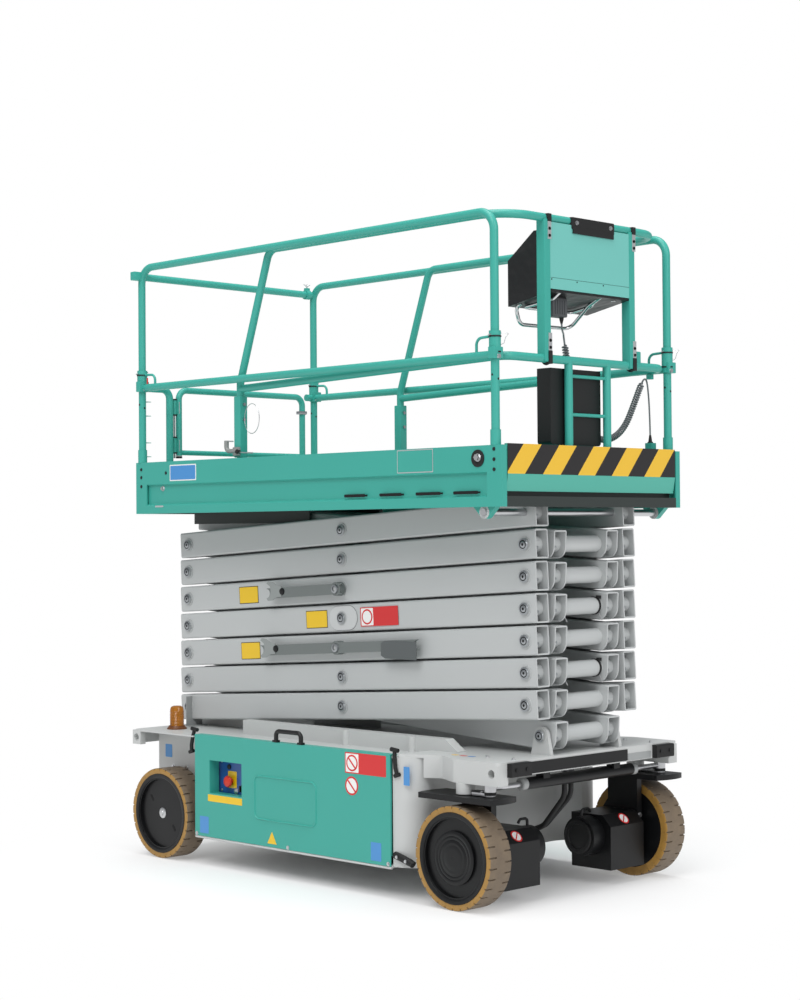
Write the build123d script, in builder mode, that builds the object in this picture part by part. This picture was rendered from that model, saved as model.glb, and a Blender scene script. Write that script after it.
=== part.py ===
"""Self-propelled electric scissor lift, standing with its stack lowered. Millimetres, +X forward
(steered end), +Y left, +Z up. The origin is on the floor, midway between the axles."""

import math
import os

from build123d import *

os.makedirs("parts", exist_ok=True)

# ---------------------------------------------------------------- driving sizes
# running gear
WHEEL_RADIUS = 204.0
WHEEL_WIDTH = 123.0
HALF_WIDTH = 610.0  # outer faces of the wheels
AXLE_X = 927.0
TYRE_DEPTH = 38.0  # moulded tread, measured along the radius
TYRE_ROUND = 7.0
HUB_RECESS = 20.0  # hub's lip inside the tyre's outer face
HUB_DISH = 14.0
HUB_LIP = 12.0
AXLE_RADIUS = 30.0
AXLE_CAP_RADIUS = 60.0
KINGPIN_Y = 530.0
KINGPIN_RADIUS = 22.0
KINGPIN_HOUSING_RADIUS = 38.0
YOKE_Z = 424.0  # underside of the plate over a steered wheel
YOKE_THICK = 22.0
YOKE_RADIUS = 206.0
LEG_Y = (440.0, 470.0)  # knuckle's leg beside the wheel
LEG_HALF_X = 80.0
LEG_BOTTOM = 96.0
MOTOR_RADIUS = 82.0
MOTOR_Y = 152.0  # inner end of the motor
GUARD_Y = 222.0  # inner face of the motor's cover
GUARD_REACH = 113.0  # cover's front face ahead of the axle
GUARD_Z = (66.0, 292.0)
GUARD_SLOPE = 46.0
STEER_LEVER = 132.0  # kingpin to the lever's eye
LEVER_THICK = 12.0
STEER_ROD_Z = 480.0
STEER_ROD_RADIUS = 11.0
STEER_EYE = (24.0, 26.0)  # radius and height of the rod's eyes
STEER_BARREL_RADIUS = 24.0
STEER_BARREL_HALF = 330.0

# scissor stack
LEVELS = 7
ARM_SPAN = 2138.0  # pin to pin
NODE_RISE = 127.5  # pin to pin upwards, stack lowered
FRONT_PIN_X = 1051.0
BASE_PIN_Z = 660.0
ARM_HEIGHT = 118.0
ARM_WALL = 6.0
ARM_CORNER = 9.0
ARM_OVERHANG = 58.0  # arm past its end pin
ARM_END_ROUND = 48.0
INNER_Y = (125.0, 200.0)  # inner and outer faces of the inner arms
OUTER_Y = (234.0, 310.0)
PIN_RADIUS = 21.0
PIN_CLEAR = 0.3
PIN_CLEAR_WEB = 3.0  # sliding pin's end to its channel's web
PIN_INSIDE = 28.0  # pin's end past an inner arm's inner face
PIN_WASHER = (32.0, 3.0)  # radius and thickness
PIN_CAP = (23.0, 7.0)
SLEEVE_RADIUS = 33.0
CROSS_TUBE_RADIUS = 34.0

# slide blocks and their channels, between the planes of the two arms
CHANNEL_Y = (206.0, 229.0)
CHANNEL_WEB = 4.0
CHANNEL_FLANGE = 5.0
BLOCK_HALF_X = 38.0
BLOCK_HALF_Z = 22.0
BLOCK_CLEAR = 0.4
BLOCK_SIDE_CLEAR = 1.0
TRAVEL_FRONT_X = -315.0  # front end of the channels

# lift cylinders, on cross tubes of the inner frames
CYLINDERS = (("lower", 1), ("upper", 4))  # name and level that carries the barrel
CYLINDER_RISE_LEVELS = 2
BARREL_SHARE = 0.85  # of an arm's span from its front pin
EYE_SHARE = 0.15
SEAT_TUBE_RADIUS = 25.0
SEAT_CLEAR = 1.0
BARREL_RADIUS = 46.0
BARREL_GAP = 96.0  # barrel's mouth to the rod's eye, closed
LIFT_ROD_RADIUS = 26.0
ROD_START = 75.0  # rod's inner end from the barrel's pin, closed
HEAD_RADIUS = 42.0
HEAD_HALF_Y = 24.0

# safety props on the near arms
PROP_PIN_RADIUS = 10.0
PROP_THICK = 12.0
PROP_HALF_HEIGHT = 23.0
PROP_BOSS_RADIUS = 30.0
PROP_HOOK_RADIUS = 20.0
PROPS = (("prop_upper", 5, 455.0, 40.0, 28.0), ("prop_lower", 3, 500.0, 500.0, 28.0))
# name, level, reach to the rear, reach to the front, stand-off from the arm

# chassis
CHASSIS_HALF = 596.0
CHASSIS_FRONT_X = 1128.0
CHASSIS_REAR_X = -1158.0
CHASSIS_BOTTOM = 130.0
DECK_Z = 572.0
DECK_THICK = 6.0
SPINE_HALF = 356.0
BAY_X = (-690.0, 575.0)  # side bays behind the covers
PLATE = 6.0
SHOULDER_X = 700.0
SHOULDER_INSET = 10.0
SHOULDER_ROUND = 110.0
NOSE_X = 612.0  # front wall of the body between the drive motors
NOSE_HALF = 440.0
COVER_SHEET = 4.0
COVER_GAP = 5.0
COVER_TOP = 580.0
COVER_LIP = 42.0
CONTROL_HOLE_X = (-582.0, -361.0)
CONTROL_HOLE_Z = (325.0, 471.0)
CONTROL_DEPTH = 50.0
HINGE_RADIUS = 6.0
BATTERY = (260.0, 180.0, 330.0)
BATTERY_X = (-300.0, 0.0, 290.0)
TIE_HOLE_RADIUS = 17.0
TIE_PLATE = 30.0
TIE_TAB = (28.0, 30.0, 32.0)  # rear tie-down tab's reach behind, ahead of and under its hole
REAR_TIE = (-1112.0, 538.0)  # x and z
FRONT_TIE = (1092.0, 540.0)
REAR_BODY_HALF = 455.0
FENDER_HALF = 600.0
FENDER_FLANGE = 67.0
FENDER_ROUND = 60.0
HOUSING_TOP = 585.0
HOUSING_HALF = 560.0
HOUSING_BOTTOM = 493.0
HOUSING_X = 890.0
HOUSING_WIDTH = 58.0
HOUSING_ROUND = 30.0
BUFFER = (26.0, 116.0, 54.0)
BUFFER_Y = 392.0
BUFFER_Z = 526.0
LUG_Y = (206.0, 224.0)
LUG_HALF_X = 52.0
LUG_RADIUS = 36.0
STRINGER_X = (-583.0, 690.0)
STRINGER_Y = (352.0, 400.0)
STRINGER_TOP = 636.0
STRINGER_NOSE_X = 760.0
BEACON_AT = (-1000.0, -450.0)
BEACON_RADIUS = 32.0
BEACON_BASE = (46.0, 14.0)  # radius and height
BEACON_HEIGHT = 108.0

# platform
PLATFORM_HALF_X = 1160.0
PLATFORM_HALF_Y = 558.0
PLATFORM_BOTTOM = 1573.0
SIDE_SHEET = 6.0
SIDE_LIP = 28.0  # width of the folded edges
RECESS_DEPTH = 13.0
RECESS_Z = (1618.0, 1702.0)
RECESS_SLOPE = 6.0
FLOOR_Z = 1660.0
FLOOR_THICK = 9.0
TOE_TOP = 1812.0
CORNER_WIDTH = 80.0
SILL_TOP = 1700.0
SILL_THICK = 10.0
FRONT_SILL_TOP = 1614.0
JOIST_Y = (360.0, 400.0)
JOIST_DEPTH = 45.0
SLOT_HEIGHT = 8.0
SLOT_Z = 1630.0
SLOTS = ((269.0, 396.0), (480.0, 610.0), (690.0, 830.0), (899.0, 1034.0))
EAR_Y = (514.0, 542.0)
EAR_HALF_X = 58.0
EAR_RADIUS = 26.0
ROD_RADIUS = 15.0
ROD_OVERHANG = 9.0

# guard rails
RAIL_TOP = 2740.0
MID_RAIL_Z = 2162.0
RAIL_RADIUS = 17.0
RAIL_BEND = 75.0
POST_X = (-1133.0, 1112.0)
POST_FOOT = 60.0  # length of a post's socket
SOCKET_WALL = 4.0
GATE_HINGE = (-1133.0, -352.0)
GATE_Y = (-325.0, 460.0)
GATE_BOTTOM = 1850.0
GATE_TUBE_RADIUS = 15.0
GATE_BEND = 45.0
GATE_BARREL_RADIUS = 10.7
GATE_BARREL_HALF = 35.0
GATE_BARREL_Z = (1900.0, 2080.0)
GATE_POST_Y = -380.0
GATE_STUB_Y = 488.0
REAR_BAR_DROP = 40.0

# sliding deck extension
EXT_RAIL_Y = 500.0
EXT_FRONT_X = 1125.0
EXT_REAR_X = -1080.0
EXT_POST_X = -467.0
EXT_SHEET = 6.0
EXT_SIDE_Y = 522.0
EXT_SIDE_SHEET = 3.0
EXT_RAISE = 4.0  # deck's underside over the platform floor
EXT_CURVE = (2150.0, -265.0)  # where the rear posts start to lean, and where the top rail starts
EXT_BEND = 60.0
EXT_FRONT_BEND = 150.0
EXT_UPRIGHT_Y = 120.0
BOARD_X = 1143.0
BOARD_HALF = 524.0
BOARD_TOP = 1818.0
BOARD_FOLD = 1698.0
BOARD_BOTTOM = 1633.0
BOARD_BEVEL = 11.0
LEG_AT_Y = 265.0
RUNG_Z, RUNG_RADIUS = (1945.0, 2100.0), 7.0  # ladder rungs between the front uprights
DOCUMENT_Y = (-210.0, 100.0)
SOCKET_X, SOCKET_Z = (1030.0, 1065.0), (1780.0, 1850.0)
HOOK_X = (1038.0, 1062.0)
HOOK_DROP = 22.0  # hook's mouth under the middle rail
# black cover over the controls, seen from the side, from its rear foot round to its front foot
COVER_PROFILE = ((917.0, 2387.0), (917.0, 2572.0), (1058.0, 2680.0), (1142.0, 2680.0), (1142.0, 2430.0))
HANDSET_X, HANDSET_Y, HANDSET_Z = (1050.0, 1090.0), (-172.0,
                                                     -88.0), 2340.0  # handset hung under the cover
DOCUMENT_BOX = (72.0, 300.0, 1823.0, 2130.0)  # depth, width, bottom and top
SEAT = 0.3  # gap left where a piece seats on its neighbour

# curly control cord
CORD_RADIUS = 15.0
LEAD_RADIUS = 4.0

# ---------------------------------------------------------------- derived sizes
STOW_ANGLE = math.degrees(math.asin(NODE_RISE / ARM_SPAN))
ARM_LENGTH = ARM_SPAN + 2 * ARM_OVERHANG
REAR_PIN_X = FRONT_PIN_X - ARM_SPAN * math.cos(math.radians(STOW_ANGLE))
MID_PIN_X = (FRONT_PIN_X + REAR_PIN_X) / 2
TOP_PIN_Z = BASE_PIN_Z + LEVELS * NODE_RISE
FOLLOWER_BORE = PIN_RADIUS + PIN_CLEAR
WHEEL_Y = HALF_WIDTH - WHEEL_WIDTH / 2
RIM_RADIUS = WHEEL_RADIUS - TYRE_DEPTH
RAIL_Y = PLATFORM_HALF_Y - RAIL_RADIUS - 1
RAIL_TOP_Z = RAIL_TOP - RAIL_RADIUS
EXT_DECK_Z = FLOOR_Z + EXT_RAISE
EXT_TOP_Z = EXT_DECK_Z + EXT_SHEET
COVER_HINGE = (CHASSIS_HALF - HINGE_RADIUS, CHASSIS_BOTTOM - HINGE_RADIUS)  # |y| and z


def node_z(level):
    """Height of the pins under a level, the lowest being level 1, with the stack lowered."""
    return BASE_PIN_Z + (level - 1) * NODE_RISE


def slab(x, y, z, mode=Mode.ADD):
    """A block between two limits along each axis."""
    with Locations(((x[0] + x[1]) / 2, (y[0] + y[1]) / 2, (z[0] + z[1]) / 2)):
        Box(abs(x[1] - x[0]), abs(y[1] - y[0]), abs(z[1] - z[0]), mode=mode)


def shaft(x, z, y, radius, mode=Mode.ADD):
    """A round bar along Y between two limits."""
    with Locations((x, (y[0] + y[1]) / 2, z)):
        Cylinder(radius, abs(y[1] - y[0]), rotation=(90, 0, 0), mode=mode)


def upright(x, y, z, radius, mode=Mode.ADD):
    """A round bar along Z between two limits."""
    with Locations((x, y, (z[0] + z[1]) / 2)):
        Cylinder(radius, abs(z[1] - z[0]), mode=mode)


def tube(points, bends, radius=RAIL_RADIUS):
    """A round rail bent along a route, with one bend radius for each corner."""
    with BuildLine() as route:
        if len(points) > 2:
            FilletPolyline(*points, radius=bends)
        else:
            Line(*points)
    with BuildSketch(Plane(origin=route.line @ 0, z_dir=route.line % 0)) as section:
        Circle(radius)
    sweep(section.sketch, path=route.line)


def finish(part, name):
    part.part.label = name
    export_step(part.part, f"parts/{name}.step")


# ---------------------------------------------------------------- scissor stack
def arm_plane(level, rises_forward, y):
    """Arm plane: X along the arm towards the front, Y square to it upwards, origin at the mid pin."""
    turn = math.radians(STOW_ANGLE if rises_forward else -STOW_ANGLE)
    centre_z = node_z(level) + NODE_RISE / 2
    return Plane(origin=(MID_PIN_X, y, centre_z), x_dir=(math.cos(turn), 0, math.sin(turn)),
                 z_dir=(0, -1, 0))


def arm(level, rises_forward, y):
    """Rectangular tube with rounded edges and open ends, between two limits along Y."""
    width = abs(y[1] - y[0])
    middle = arm_plane(level, rises_forward, (y[0] + y[1]) / 2)
    tail = middle.from_local_coords((-ARM_LENGTH / 2, 0, 0))
    with BuildSketch(Plane(origin=tail, x_dir=(0, 1, 0), z_dir=middle.x_dir)) as section:
        RectangleRounded(width, ARM_HEIGHT, ARM_CORNER)
        RectangleRounded(width - 2 * ARM_WALL, ARM_HEIGHT - 2 * ARM_WALL, ARM_CORNER - ARM_WALL,
                         mode=Mode.SUBTRACT)
    extrude(section.sketch, amount=ARM_LENGTH)


def round_ends(level):
    """Round the lower front and the upper rear corners of a pair of inner arms."""
    for end, along, across in ((1, Align.MIN, Align.MAX), (-1, Align.MAX, Align.MIN)):
        with BuildSketch(arm_plane(level, False, 0)) as corner:
            with Locations((end * (ARM_LENGTH / 2 - ARM_END_ROUND),
                            -end * (ARM_HEIGHT / 2 - ARM_END_ROUND))):
                Rectangle(ARM_END_ROUND + 1, ARM_END_ROUND + 1, align=(along, across))
                Circle(ARM_END_ROUND, mode=Mode.SUBTRACT)
        extrude(corner.sketch, amount=INNER_Y[1] + 1, both=True, mode=Mode.SUBTRACT)


def pin_head(x, z, face, side):
    """Washer and domed cap outside an arm's face."""
    washer = face + PIN_WASHER[1]
    shaft(x, z, (side * face, side * washer), PIN_WASHER[0])
    with BuildSketch(Plane(origin=(x, side * washer, z), z_dir=(0, side, 0))) as cap:
        Circle(PIN_CAP[0])
    extrude(cap.sketch, amount=PIN_CAP[1] - PIN_WASHER[1], taper=30)


def inner_point(level, share):
    """Point on an inner arm's centre line, a share of its span from the front pin."""
    return FRONT_PIN_X - share * (FRONT_PIN_X - REAR_PIN_X), node_z(level) + share * NODE_RISE


barrel_levels = [level for _, level in CYLINDERS]
eye_levels = [level + CYLINDER_RISE_LEVELS for level in barrel_levels]
for level in range(1, LEVELS + 1):
    low_z, high_z, mid_z = node_z(level), node_z(level + 1), node_z(level) + NODE_RISE / 2
    ends = ((FRONT_PIN_X, low_z), (REAR_PIN_X, high_z))
    with BuildPart() as inner:
        for side in (-1, 1):
            arm(level, False, (side * INNER_Y[0], side * INNER_Y[1]))
        round_ends(level)
        for x, z in ends:
            shaft(x, z, (-INNER_Y[0] - ARM_WALL / 2, INNER_Y[0] + ARM_WALL / 2), CROSS_TUBE_RADIUS)
        for x, z in (*ends, (MID_PIN_X, mid_z)):
            for side in (-1, 1):
                shaft(x, z, (side * (INNER_Y[0] + 1), side * (INNER_Y[1] - 1)), SLEEVE_RADIUS)
                shaft(x, z, (side * (INNER_Y[0] - PIN_INSIDE - 2), side * (INNER_Y[1] + 1)),
                      FOLLOWER_BORE, Mode.SUBTRACT)
        if level == LEVELS:
            for side in (-1, 1):
                pin_end = CHANNEL_Y[1] - CHANNEL_WEB - PIN_CLEAR_WEB
                shaft(REAR_PIN_X, high_z, (side * (INNER_Y[0] - PIN_INSIDE), side * pin_end), PIN_RADIUS)
        for share, levels in ((BARREL_SHARE, barrel_levels), (EYE_SHARE, eye_levels)):
            if level in levels:
                x, z = inner_point(level, share)
                shaft(x, z, (-INNER_Y[0] - ARM_WALL / 2, INNER_Y[0] + ARM_WALL / 2), SEAT_TUBE_RADIUS)
    finish(inner, f"inner_frame_{level}")

    with BuildPart() as outer:
        for side in (-1, 1):
            arm(level, True, (side * OUTER_Y[0], side * OUTER_Y[1]))
            for x, z in ((MID_PIN_X, mid_z), (REAR_PIN_X, low_z), (FRONT_PIN_X, high_z)):
                shaft(x, z, (side * (OUTER_Y[0] + 1), side * (OUTER_Y[1] - 1)), SLEEVE_RADIUS)
                if level == LEVELS and z == high_z:
                    shaft(x, z, (side * (OUTER_Y[0] - 1), side * (OUTER_Y[1] + 1)),
                          ROD_RADIUS + PIN_CLEAR, Mode.SUBTRACT)
                    continue
                if level == 1 and z == low_z:  # the pin that slides is a piece seated on the arm
                    pin_y = (CHANNEL_Y[0] + CHANNEL_WEB + PIN_CLEAR_WEB, OUTER_Y[0] - SEAT)
                    shaft(x, z, (side * pin_y[0], side * pin_y[1]), PIN_RADIUS)
                    shaft(x, z, (side * OUTER_Y[0], side * OUTER_Y[1]), PIN_RADIUS)
                else:
                    shaft(x, z, (side * (INNER_Y[0] - PIN_INSIDE), side * OUTER_Y[1]), PIN_RADIUS)
                pin_head(x, z, OUTER_Y[1], side)
        for _, prop_level, _, _, stand_off in PROPS:
            if level == prop_level:
                shaft(MID_PIN_X, mid_z, (-OUTER_Y[1] - stand_off - PROP_THICK - 4, -OUTER_Y[1]),
                      PROP_PIN_RADIUS)
    finish(outer, f"outer_arms_{level}")

# slide blocks: (name, height of their pins, inner face, outer face)
block_play = CHANNEL_WEB + BLOCK_SIDE_CLEAR
for name, z, y in (("slide_blocks_lower", BASE_PIN_Z, (CHANNEL_Y[0] + block_play, CHANNEL_Y[1])),
                   ("slide_blocks_upper", TOP_PIN_Z, (CHANNEL_Y[0], CHANNEL_Y[1] - block_play))):
    with BuildPart() as blocks:
        for side in (-1, 1):
            slab((REAR_PIN_X - BLOCK_HALF_X, REAR_PIN_X + BLOCK_HALF_X), (side * y[0], side * y[1]),
                 (z - BLOCK_HALF_Z, z + BLOCK_HALF_Z))
            shaft(REAR_PIN_X, z, (side * (y[0] - 1), side * (y[1] + 1)), FOLLOWER_BORE, Mode.SUBTRACT)
    finish(blocks, name)

for name, level, rear, front, stand_off in PROPS:
    z = node_z(level) + NODE_RISE / 2
    face = OUTER_Y[1] + stand_off
    with BuildPart() as prop:
        with BuildSketch(arm_plane(level, True, -face)):
            with Locations(((front - rear) / 2, 0)):
                Rectangle(rear + front, 2 * PROP_HALF_HEIGHT)
            with Locations((-rear, 0), (front, 0)):
                Circle(PROP_HOOK_RADIUS, mode=Mode.SUBTRACT)
        extrude(amount=PROP_THICK)
        shaft(MID_PIN_X, z, (-face - PROP_THICK, -OUTER_Y[1] - PIN_CAP[1] - 2 * SEAT), PROP_BOSS_RADIUS)
        shaft(MID_PIN_X, z, (-face - PROP_THICK - 1, -OUTER_Y[1]), PROP_PIN_RADIUS + PIN_CLEAR,
              Mode.SUBTRACT)
    finish(prop, name)

# ---------------------------------------------------------------- lift cylinders
for name, level in CYLINDERS:
    base_x, base_z = inner_point(level, BARREL_SHARE)
    eye_x, eye_z = inner_point(level + CYLINDER_RISE_LEVELS, EYE_SHARE)
    closed = math.hypot(eye_x - base_x, eye_z - base_z)
    along = ((eye_x - base_x) / closed, 0, (eye_z - base_z) / closed)
    across = Plane(origin=(base_x, 0, base_z), x_dir=(0, 1, 0), z_dir=along)
    side_view = Plane(origin=(eye_x, 0, eye_z), x_dir=along, z_dir=(0, -1, 0))
    mouth = closed - BARREL_GAP
    with BuildPart() as barrel:
        shaft(base_x, base_z, (-BARREL_RADIUS, BARREL_RADIUS), BARREL_RADIUS)
        with BuildSketch(across):
            Circle(BARREL_RADIUS)
        extrude(amount=mouth)
        with BuildSketch(across.offset(ROD_START - 10)):
            Circle(LIFT_ROD_RADIUS + PIN_CLEAR)
        extrude(amount=closed, mode=Mode.SUBTRACT)
        shaft(base_x, base_z, (-BARREL_RADIUS - 1, BARREL_RADIUS + 1), SEAT_TUBE_RADIUS + PIN_CLEAR,
              Mode.SUBTRACT)
    finish(barrel, f"lift_barrel_{name}")

    seat = SEAT_TUBE_RADIUS + SEAT_CLEAR
    with BuildPart() as ram:
        with BuildSketch(across.offset(ROD_START)):
            Circle(LIFT_ROD_RADIUS)
        extrude(amount=closed - ROD_START - BARREL_GAP + 20)
        with BuildSketch(side_view):
            with Locations((-BARREL_GAP / 2, 0)):
                Rectangle(BARREL_GAP, 2 * HEAD_HALF_Y)
            Circle(HEAD_RADIUS)
        extrude(amount=HEAD_HALF_Y, both=True)
        with BuildSketch(side_view):  # the saddle's mouth, open upwards and to the rear
            Circle(seat)
            with BuildLine():
                Polyline((-seat - 30, HEAD_RADIUS), (-seat - 30, LIFT_ROD_RADIUS),
                         (-0.87 * seat, -0.5 * seat - 3),
                         (0.94 * seat, -0.34 * seat), (HEAD_RADIUS + 1, -0.34 * seat),
                         (HEAD_RADIUS + 1, HEAD_RADIUS),
                         close=True)
            make_face()
        extrude(amount=HEAD_RADIUS, both=True, mode=Mode.SUBTRACT)
    finish(ram, f"lift_ram_{name}")


# ---------------------------------------------------------------- chassis
SKIRT = 8.0  # wall of the folded housing over the steered wheels
STRIP_Z = 525.0  # bottom of the housing's front wall, over the steering cylinder
REAR_BODY_X = -1130.0
ROAD_WALL_Z = 500.0  # roof of the space that the drive motors swing in
NOSE_ROUND = 90.0
DECK_HALF = CHASSIS_HALF - SHOULDER_INSET
floor_half = CHASSIS_HALF - COVER_SHEET - COVER_GAP
with BuildPart() as chassis:
    slab((BAY_X[0], NOSE_X), (-SPINE_HALF, SPINE_HALF), (CHASSIS_BOTTOM, DECK_Z))
    slab((BAY_X[0], BAY_X[1] + 1), (-DECK_HALF, DECK_HALF), (DECK_Z - DECK_THICK, DECK_Z))
    for side in (-1, 1):
        slab(BAY_X, (side * SPINE_HALF, side * floor_half), (CHASSIS_BOTTOM, CHASSIS_BOTTOM + PLATE))
        slab(BAY_X, (side * (floor_half - COVER_LIP), side * COVER_HINGE[0]),
             (COVER_HINGE[1], CHASSIS_BOTTOM + 1))
        with Locations(((BAY_X[0] + BAY_X[1]) / 2, side * COVER_HINGE[0], COVER_HINGE[1])):
            Cylinder(HINGE_RADIUS, BAY_X[1] - BAY_X[0] - 2 * COVER_GAP, rotation=(0, 90, 0))
    # body's front end, round at its corners, and the space that the drive motors swing in
    with BuildSketch(Plane.XY.offset(CHASSIS_BOTTOM)) as front_end:
        with Locations(((BAY_X[1] + SHOULDER_X) / 2, 0)):
            Rectangle(SHOULDER_X - BAY_X[1], 2 * DECK_HALF)
        fillet(front_end.vertices().group_by(Axis.X)[-1], SHOULDER_ROUND)
    extrude(amount=DECK_Z - CHASSIS_BOTTOM)
    with BuildSketch(Plane.XY.offset(CHASSIS_BOTTOM - 1)) as swing_space:
        with Locations((NOSE_X, 0)):
            Rectangle(SHOULDER_X - NOSE_X + NOSE_ROUND, 2 * NOSE_HALF, align=(Align.MIN, Align.CENTER))
        fillet(swing_space.vertices().group_by(Axis.X)[0], NOSE_ROUND)
    extrude(amount=ROAD_WALL_Z - CHASSIS_BOTTOM + 1, mode=Mode.SUBTRACT)
    slab((REAR_BODY_X, BAY_X[0]), (-REAR_BODY_HALF, REAR_BODY_HALF), (CHASSIS_BOTTOM, DECK_Z))
    for side in (-1, 1):
        shaft(-AXLE_X, WHEEL_RADIUS, (side * REAR_BODY_HALF, side * (HALF_WIDTH - HUB_RECESS - 4)),
              AXLE_RADIUS)
finish(chassis, "chassis_frame")

# plate over the rear wheels, folded down round the rear end
with BuildPart() as fender:
    with BuildSketch(Plane.XY.offset(DECK_Z - DECK_THICK)) as plate:
        with Locations((CHASSIS_REAR_X, 0)):
            Rectangle(BAY_X[0] - CHASSIS_REAR_X, 2 * FENDER_HALF, align=(Align.MIN, Align.CENTER))
        fillet(plate.vertices().group_by(Axis.X)[0], FENDER_ROUND)
    extrude(amount=DECK_THICK)
    with BuildSketch(Plane.XY.offset(DECK_Z - DECK_THICK)) as flange:
        add(plate.sketch)
        offset(amount=-PLATE, mode=Mode.SUBTRACT)
        with Locations((REAR_BODY_X, 0)):
            Rectangle(BAY_X[0] - REAR_BODY_X + 1, 3 * FENDER_HALF, align=(Align.MIN, Align.CENTER),
                      mode=Mode.SUBTRACT)
    extrude(amount=DECK_THICK - FENDER_FLANGE)
    slab((REAR_BODY_X - SEAT, BAY_X[0] + 1), (-REAR_BODY_HALF - SEAT, REAR_BODY_HALF + SEAT),
         (DECK_Z - FENDER_FLANGE - 1, DECK_Z + 1), Mode.SUBTRACT)
    for side in (-1, 1):
        tie_end = side * FENDER_HALF
        slab((REAR_TIE[0] - TIE_TAB[0], REAR_TIE[0] + TIE_TAB[1]), (tie_end - side * TIE_PLATE, tie_end),
             (REAR_TIE[1] - TIE_TAB[2], DECK_Z - 1))
        shaft(*REAR_TIE, (tie_end - side * (TIE_PLATE + 1), tie_end + side), TIE_HOLE_RADIUS,
              Mode.SUBTRACT)
finish(fender, "rear_fender")

# folded housing over the steered wheels, with the kingpins' boxes at its sides
with BuildPart() as housing:
    half_outline = ((SHOULDER_X - 60, DECK_HALF - 20), (HOUSING_X - 120, HOUSING_HALF - 60),
                    (HOUSING_X, HOUSING_HALF))
    with BuildSketch(Plane.XY.offset(DECK_Z)) as roof:
        with BuildLine():
            Polyline((NOSE_X, -DECK_HALF), *((x, -y) for x, y in half_outline),
                     (CHASSIS_FRONT_X, -HOUSING_HALF),
                     (CHASSIS_FRONT_X, HOUSING_HALF), *reversed(half_outline), (NOSE_X, DECK_HALF),
                     close=True)
        make_face()
        fillet(roof.vertices().group_by(Axis.X)[-1], HOUSING_ROUND / 2)
        fillet(roof.vertices().filter_by_position(Axis.X, SHOULDER_X - 70, HOUSING_X + 1), HOUSING_ROUND)
    extrude(amount=HOUSING_TOP - DECK_Z)
    with BuildSketch(Plane.XY.offset(DECK_Z)) as skirt:
        add(roof.sketch)
        offset(amount=-SKIRT, mode=Mode.SUBTRACT)
        with Locations((SHOULDER_X + SEAT, 0)):
            Rectangle(SHOULDER_X, 3 * HOUSING_HALF, align=(Align.MAX, Align.CENTER), mode=Mode.SUBTRACT)
    extrude(amount=HOUSING_BOTTOM - DECK_Z)
    box_inside = HOUSING_HALF - HOUSING_WIDTH
    slab((SHOULDER_X, CHASSIS_FRONT_X + 1), (-box_inside, box_inside), (HOUSING_BOTTOM - 1, STRIP_Z),
         Mode.SUBTRACT)
    for side in (-1, 1):
        slab((HOUSING_X, CHASSIS_FRONT_X), (side * box_inside, side * (HOUSING_HALF - 1)),
             (HOUSING_BOTTOM, DECK_Z + 1))
        upright(AXLE_X, side * KINGPIN_Y, (YOKE_Z + YOKE_THICK + 4, HOUSING_BOTTOM + 1),
                KINGPIN_HOUSING_RADIUS)
        upright(AXLE_X, side * KINGPIN_Y, (YOKE_Z, DECK_Z - 12), KINGPIN_RADIUS + PIN_CLEAR,
                Mode.SUBTRACT)
        tie_end = side * HOUSING_HALF
        shaft(*FRONT_TIE, (tie_end - side * TIE_PLATE, tie_end + side), TIE_HOLE_RADIUS, Mode.SUBTRACT)
        # lug that carries the stack's front end, and its pin and head, each seated on the next
        lug_foot = HOUSING_TOP + SEAT - BASE_PIN_Z
        with BuildSketch(Plane((FRONT_PIN_X, side * LUG_Y[0], BASE_PIN_Z), (1, 0, 0), (0, -1, 0))):
            Circle(LUG_RADIUS)
            Polygon((-LUG_HALF_X, lug_foot), (LUG_HALF_X, lug_foot), (LUG_RADIUS, 0), (-LUG_RADIUS, 0),
                    align=None)
        extrude(amount=-side * (LUG_Y[1] - LUG_Y[0]))
        pin_y = (INNER_Y[0] - PIN_INSIDE, LUG_Y[0] - SEAT)
        shaft(FRONT_PIN_X, BASE_PIN_Z, (side * pin_y[0], side * pin_y[1]), PIN_RADIUS)
        pin_head(FRONT_PIN_X, BASE_PIN_Z, LUG_Y[1] + SEAT, side)
finish(housing, "wheel_housing")


def channel(pin_z, web_outside, back, seat=0.0):
    """Slide channels between the arms' planes: a web from a back plate, and two guide bars on it."""
    low, high = CHANNEL_Y
    web = (high - CHANNEL_WEB, high) if web_outside else (low, low + CHANNEL_WEB)
    bars = (low, web[0] - seat) if web_outside else (web[1] + seat, high)
    inside = BLOCK_HALF_Z + BLOCK_CLEAR
    outside = inside + CHANNEL_FLANGE
    x = (REAR_PIN_X - ARM_OVERHANG + 2, TRAVEL_FRONT_X)
    for side in (-1, 1):
        slab(x, (side * web[0], side * web[1]), (min(pin_z - outside, back), max(pin_z + outside, back)))
        for edge in (-1, 1):
            slab(x, (side * bars[0], side * bars[1]), (pin_z + edge * inside, pin_z + edge * outside))


# channels that the lowest slide blocks run in, and the stringers outside them
with BuildPart() as deck_rails:
    channel(BASE_PIN_Z, False, DECK_Z, SEAT)
    for side in (-1, 1):
        with BuildSketch(Plane(origin=(0, side * STRINGER_Y[0], 0), x_dir=(1, 0, 0), z_dir=(0, -1, 0))):
            Polygon((STRINGER_X[0], DECK_Z), (STRINGER_X[0], STRINGER_TOP), (STRINGER_X[1], STRINGER_TOP),
                    (STRINGER_NOSE_X, HOUSING_TOP + 4), (STRINGER_NOSE_X, HOUSING_TOP),
                    (NOSE_X, HOUSING_TOP),
                    (NOSE_X, DECK_Z), align=None)
        extrude(amount=-side * (STRINGER_Y[1] - STRINGER_Y[0]))
        for x in (100, 500):
            upright(x, side * STRINGER_Y[1], (DECK_Z, STRINGER_TOP), 18)
finish(deck_rails, "deck_rails")

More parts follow.
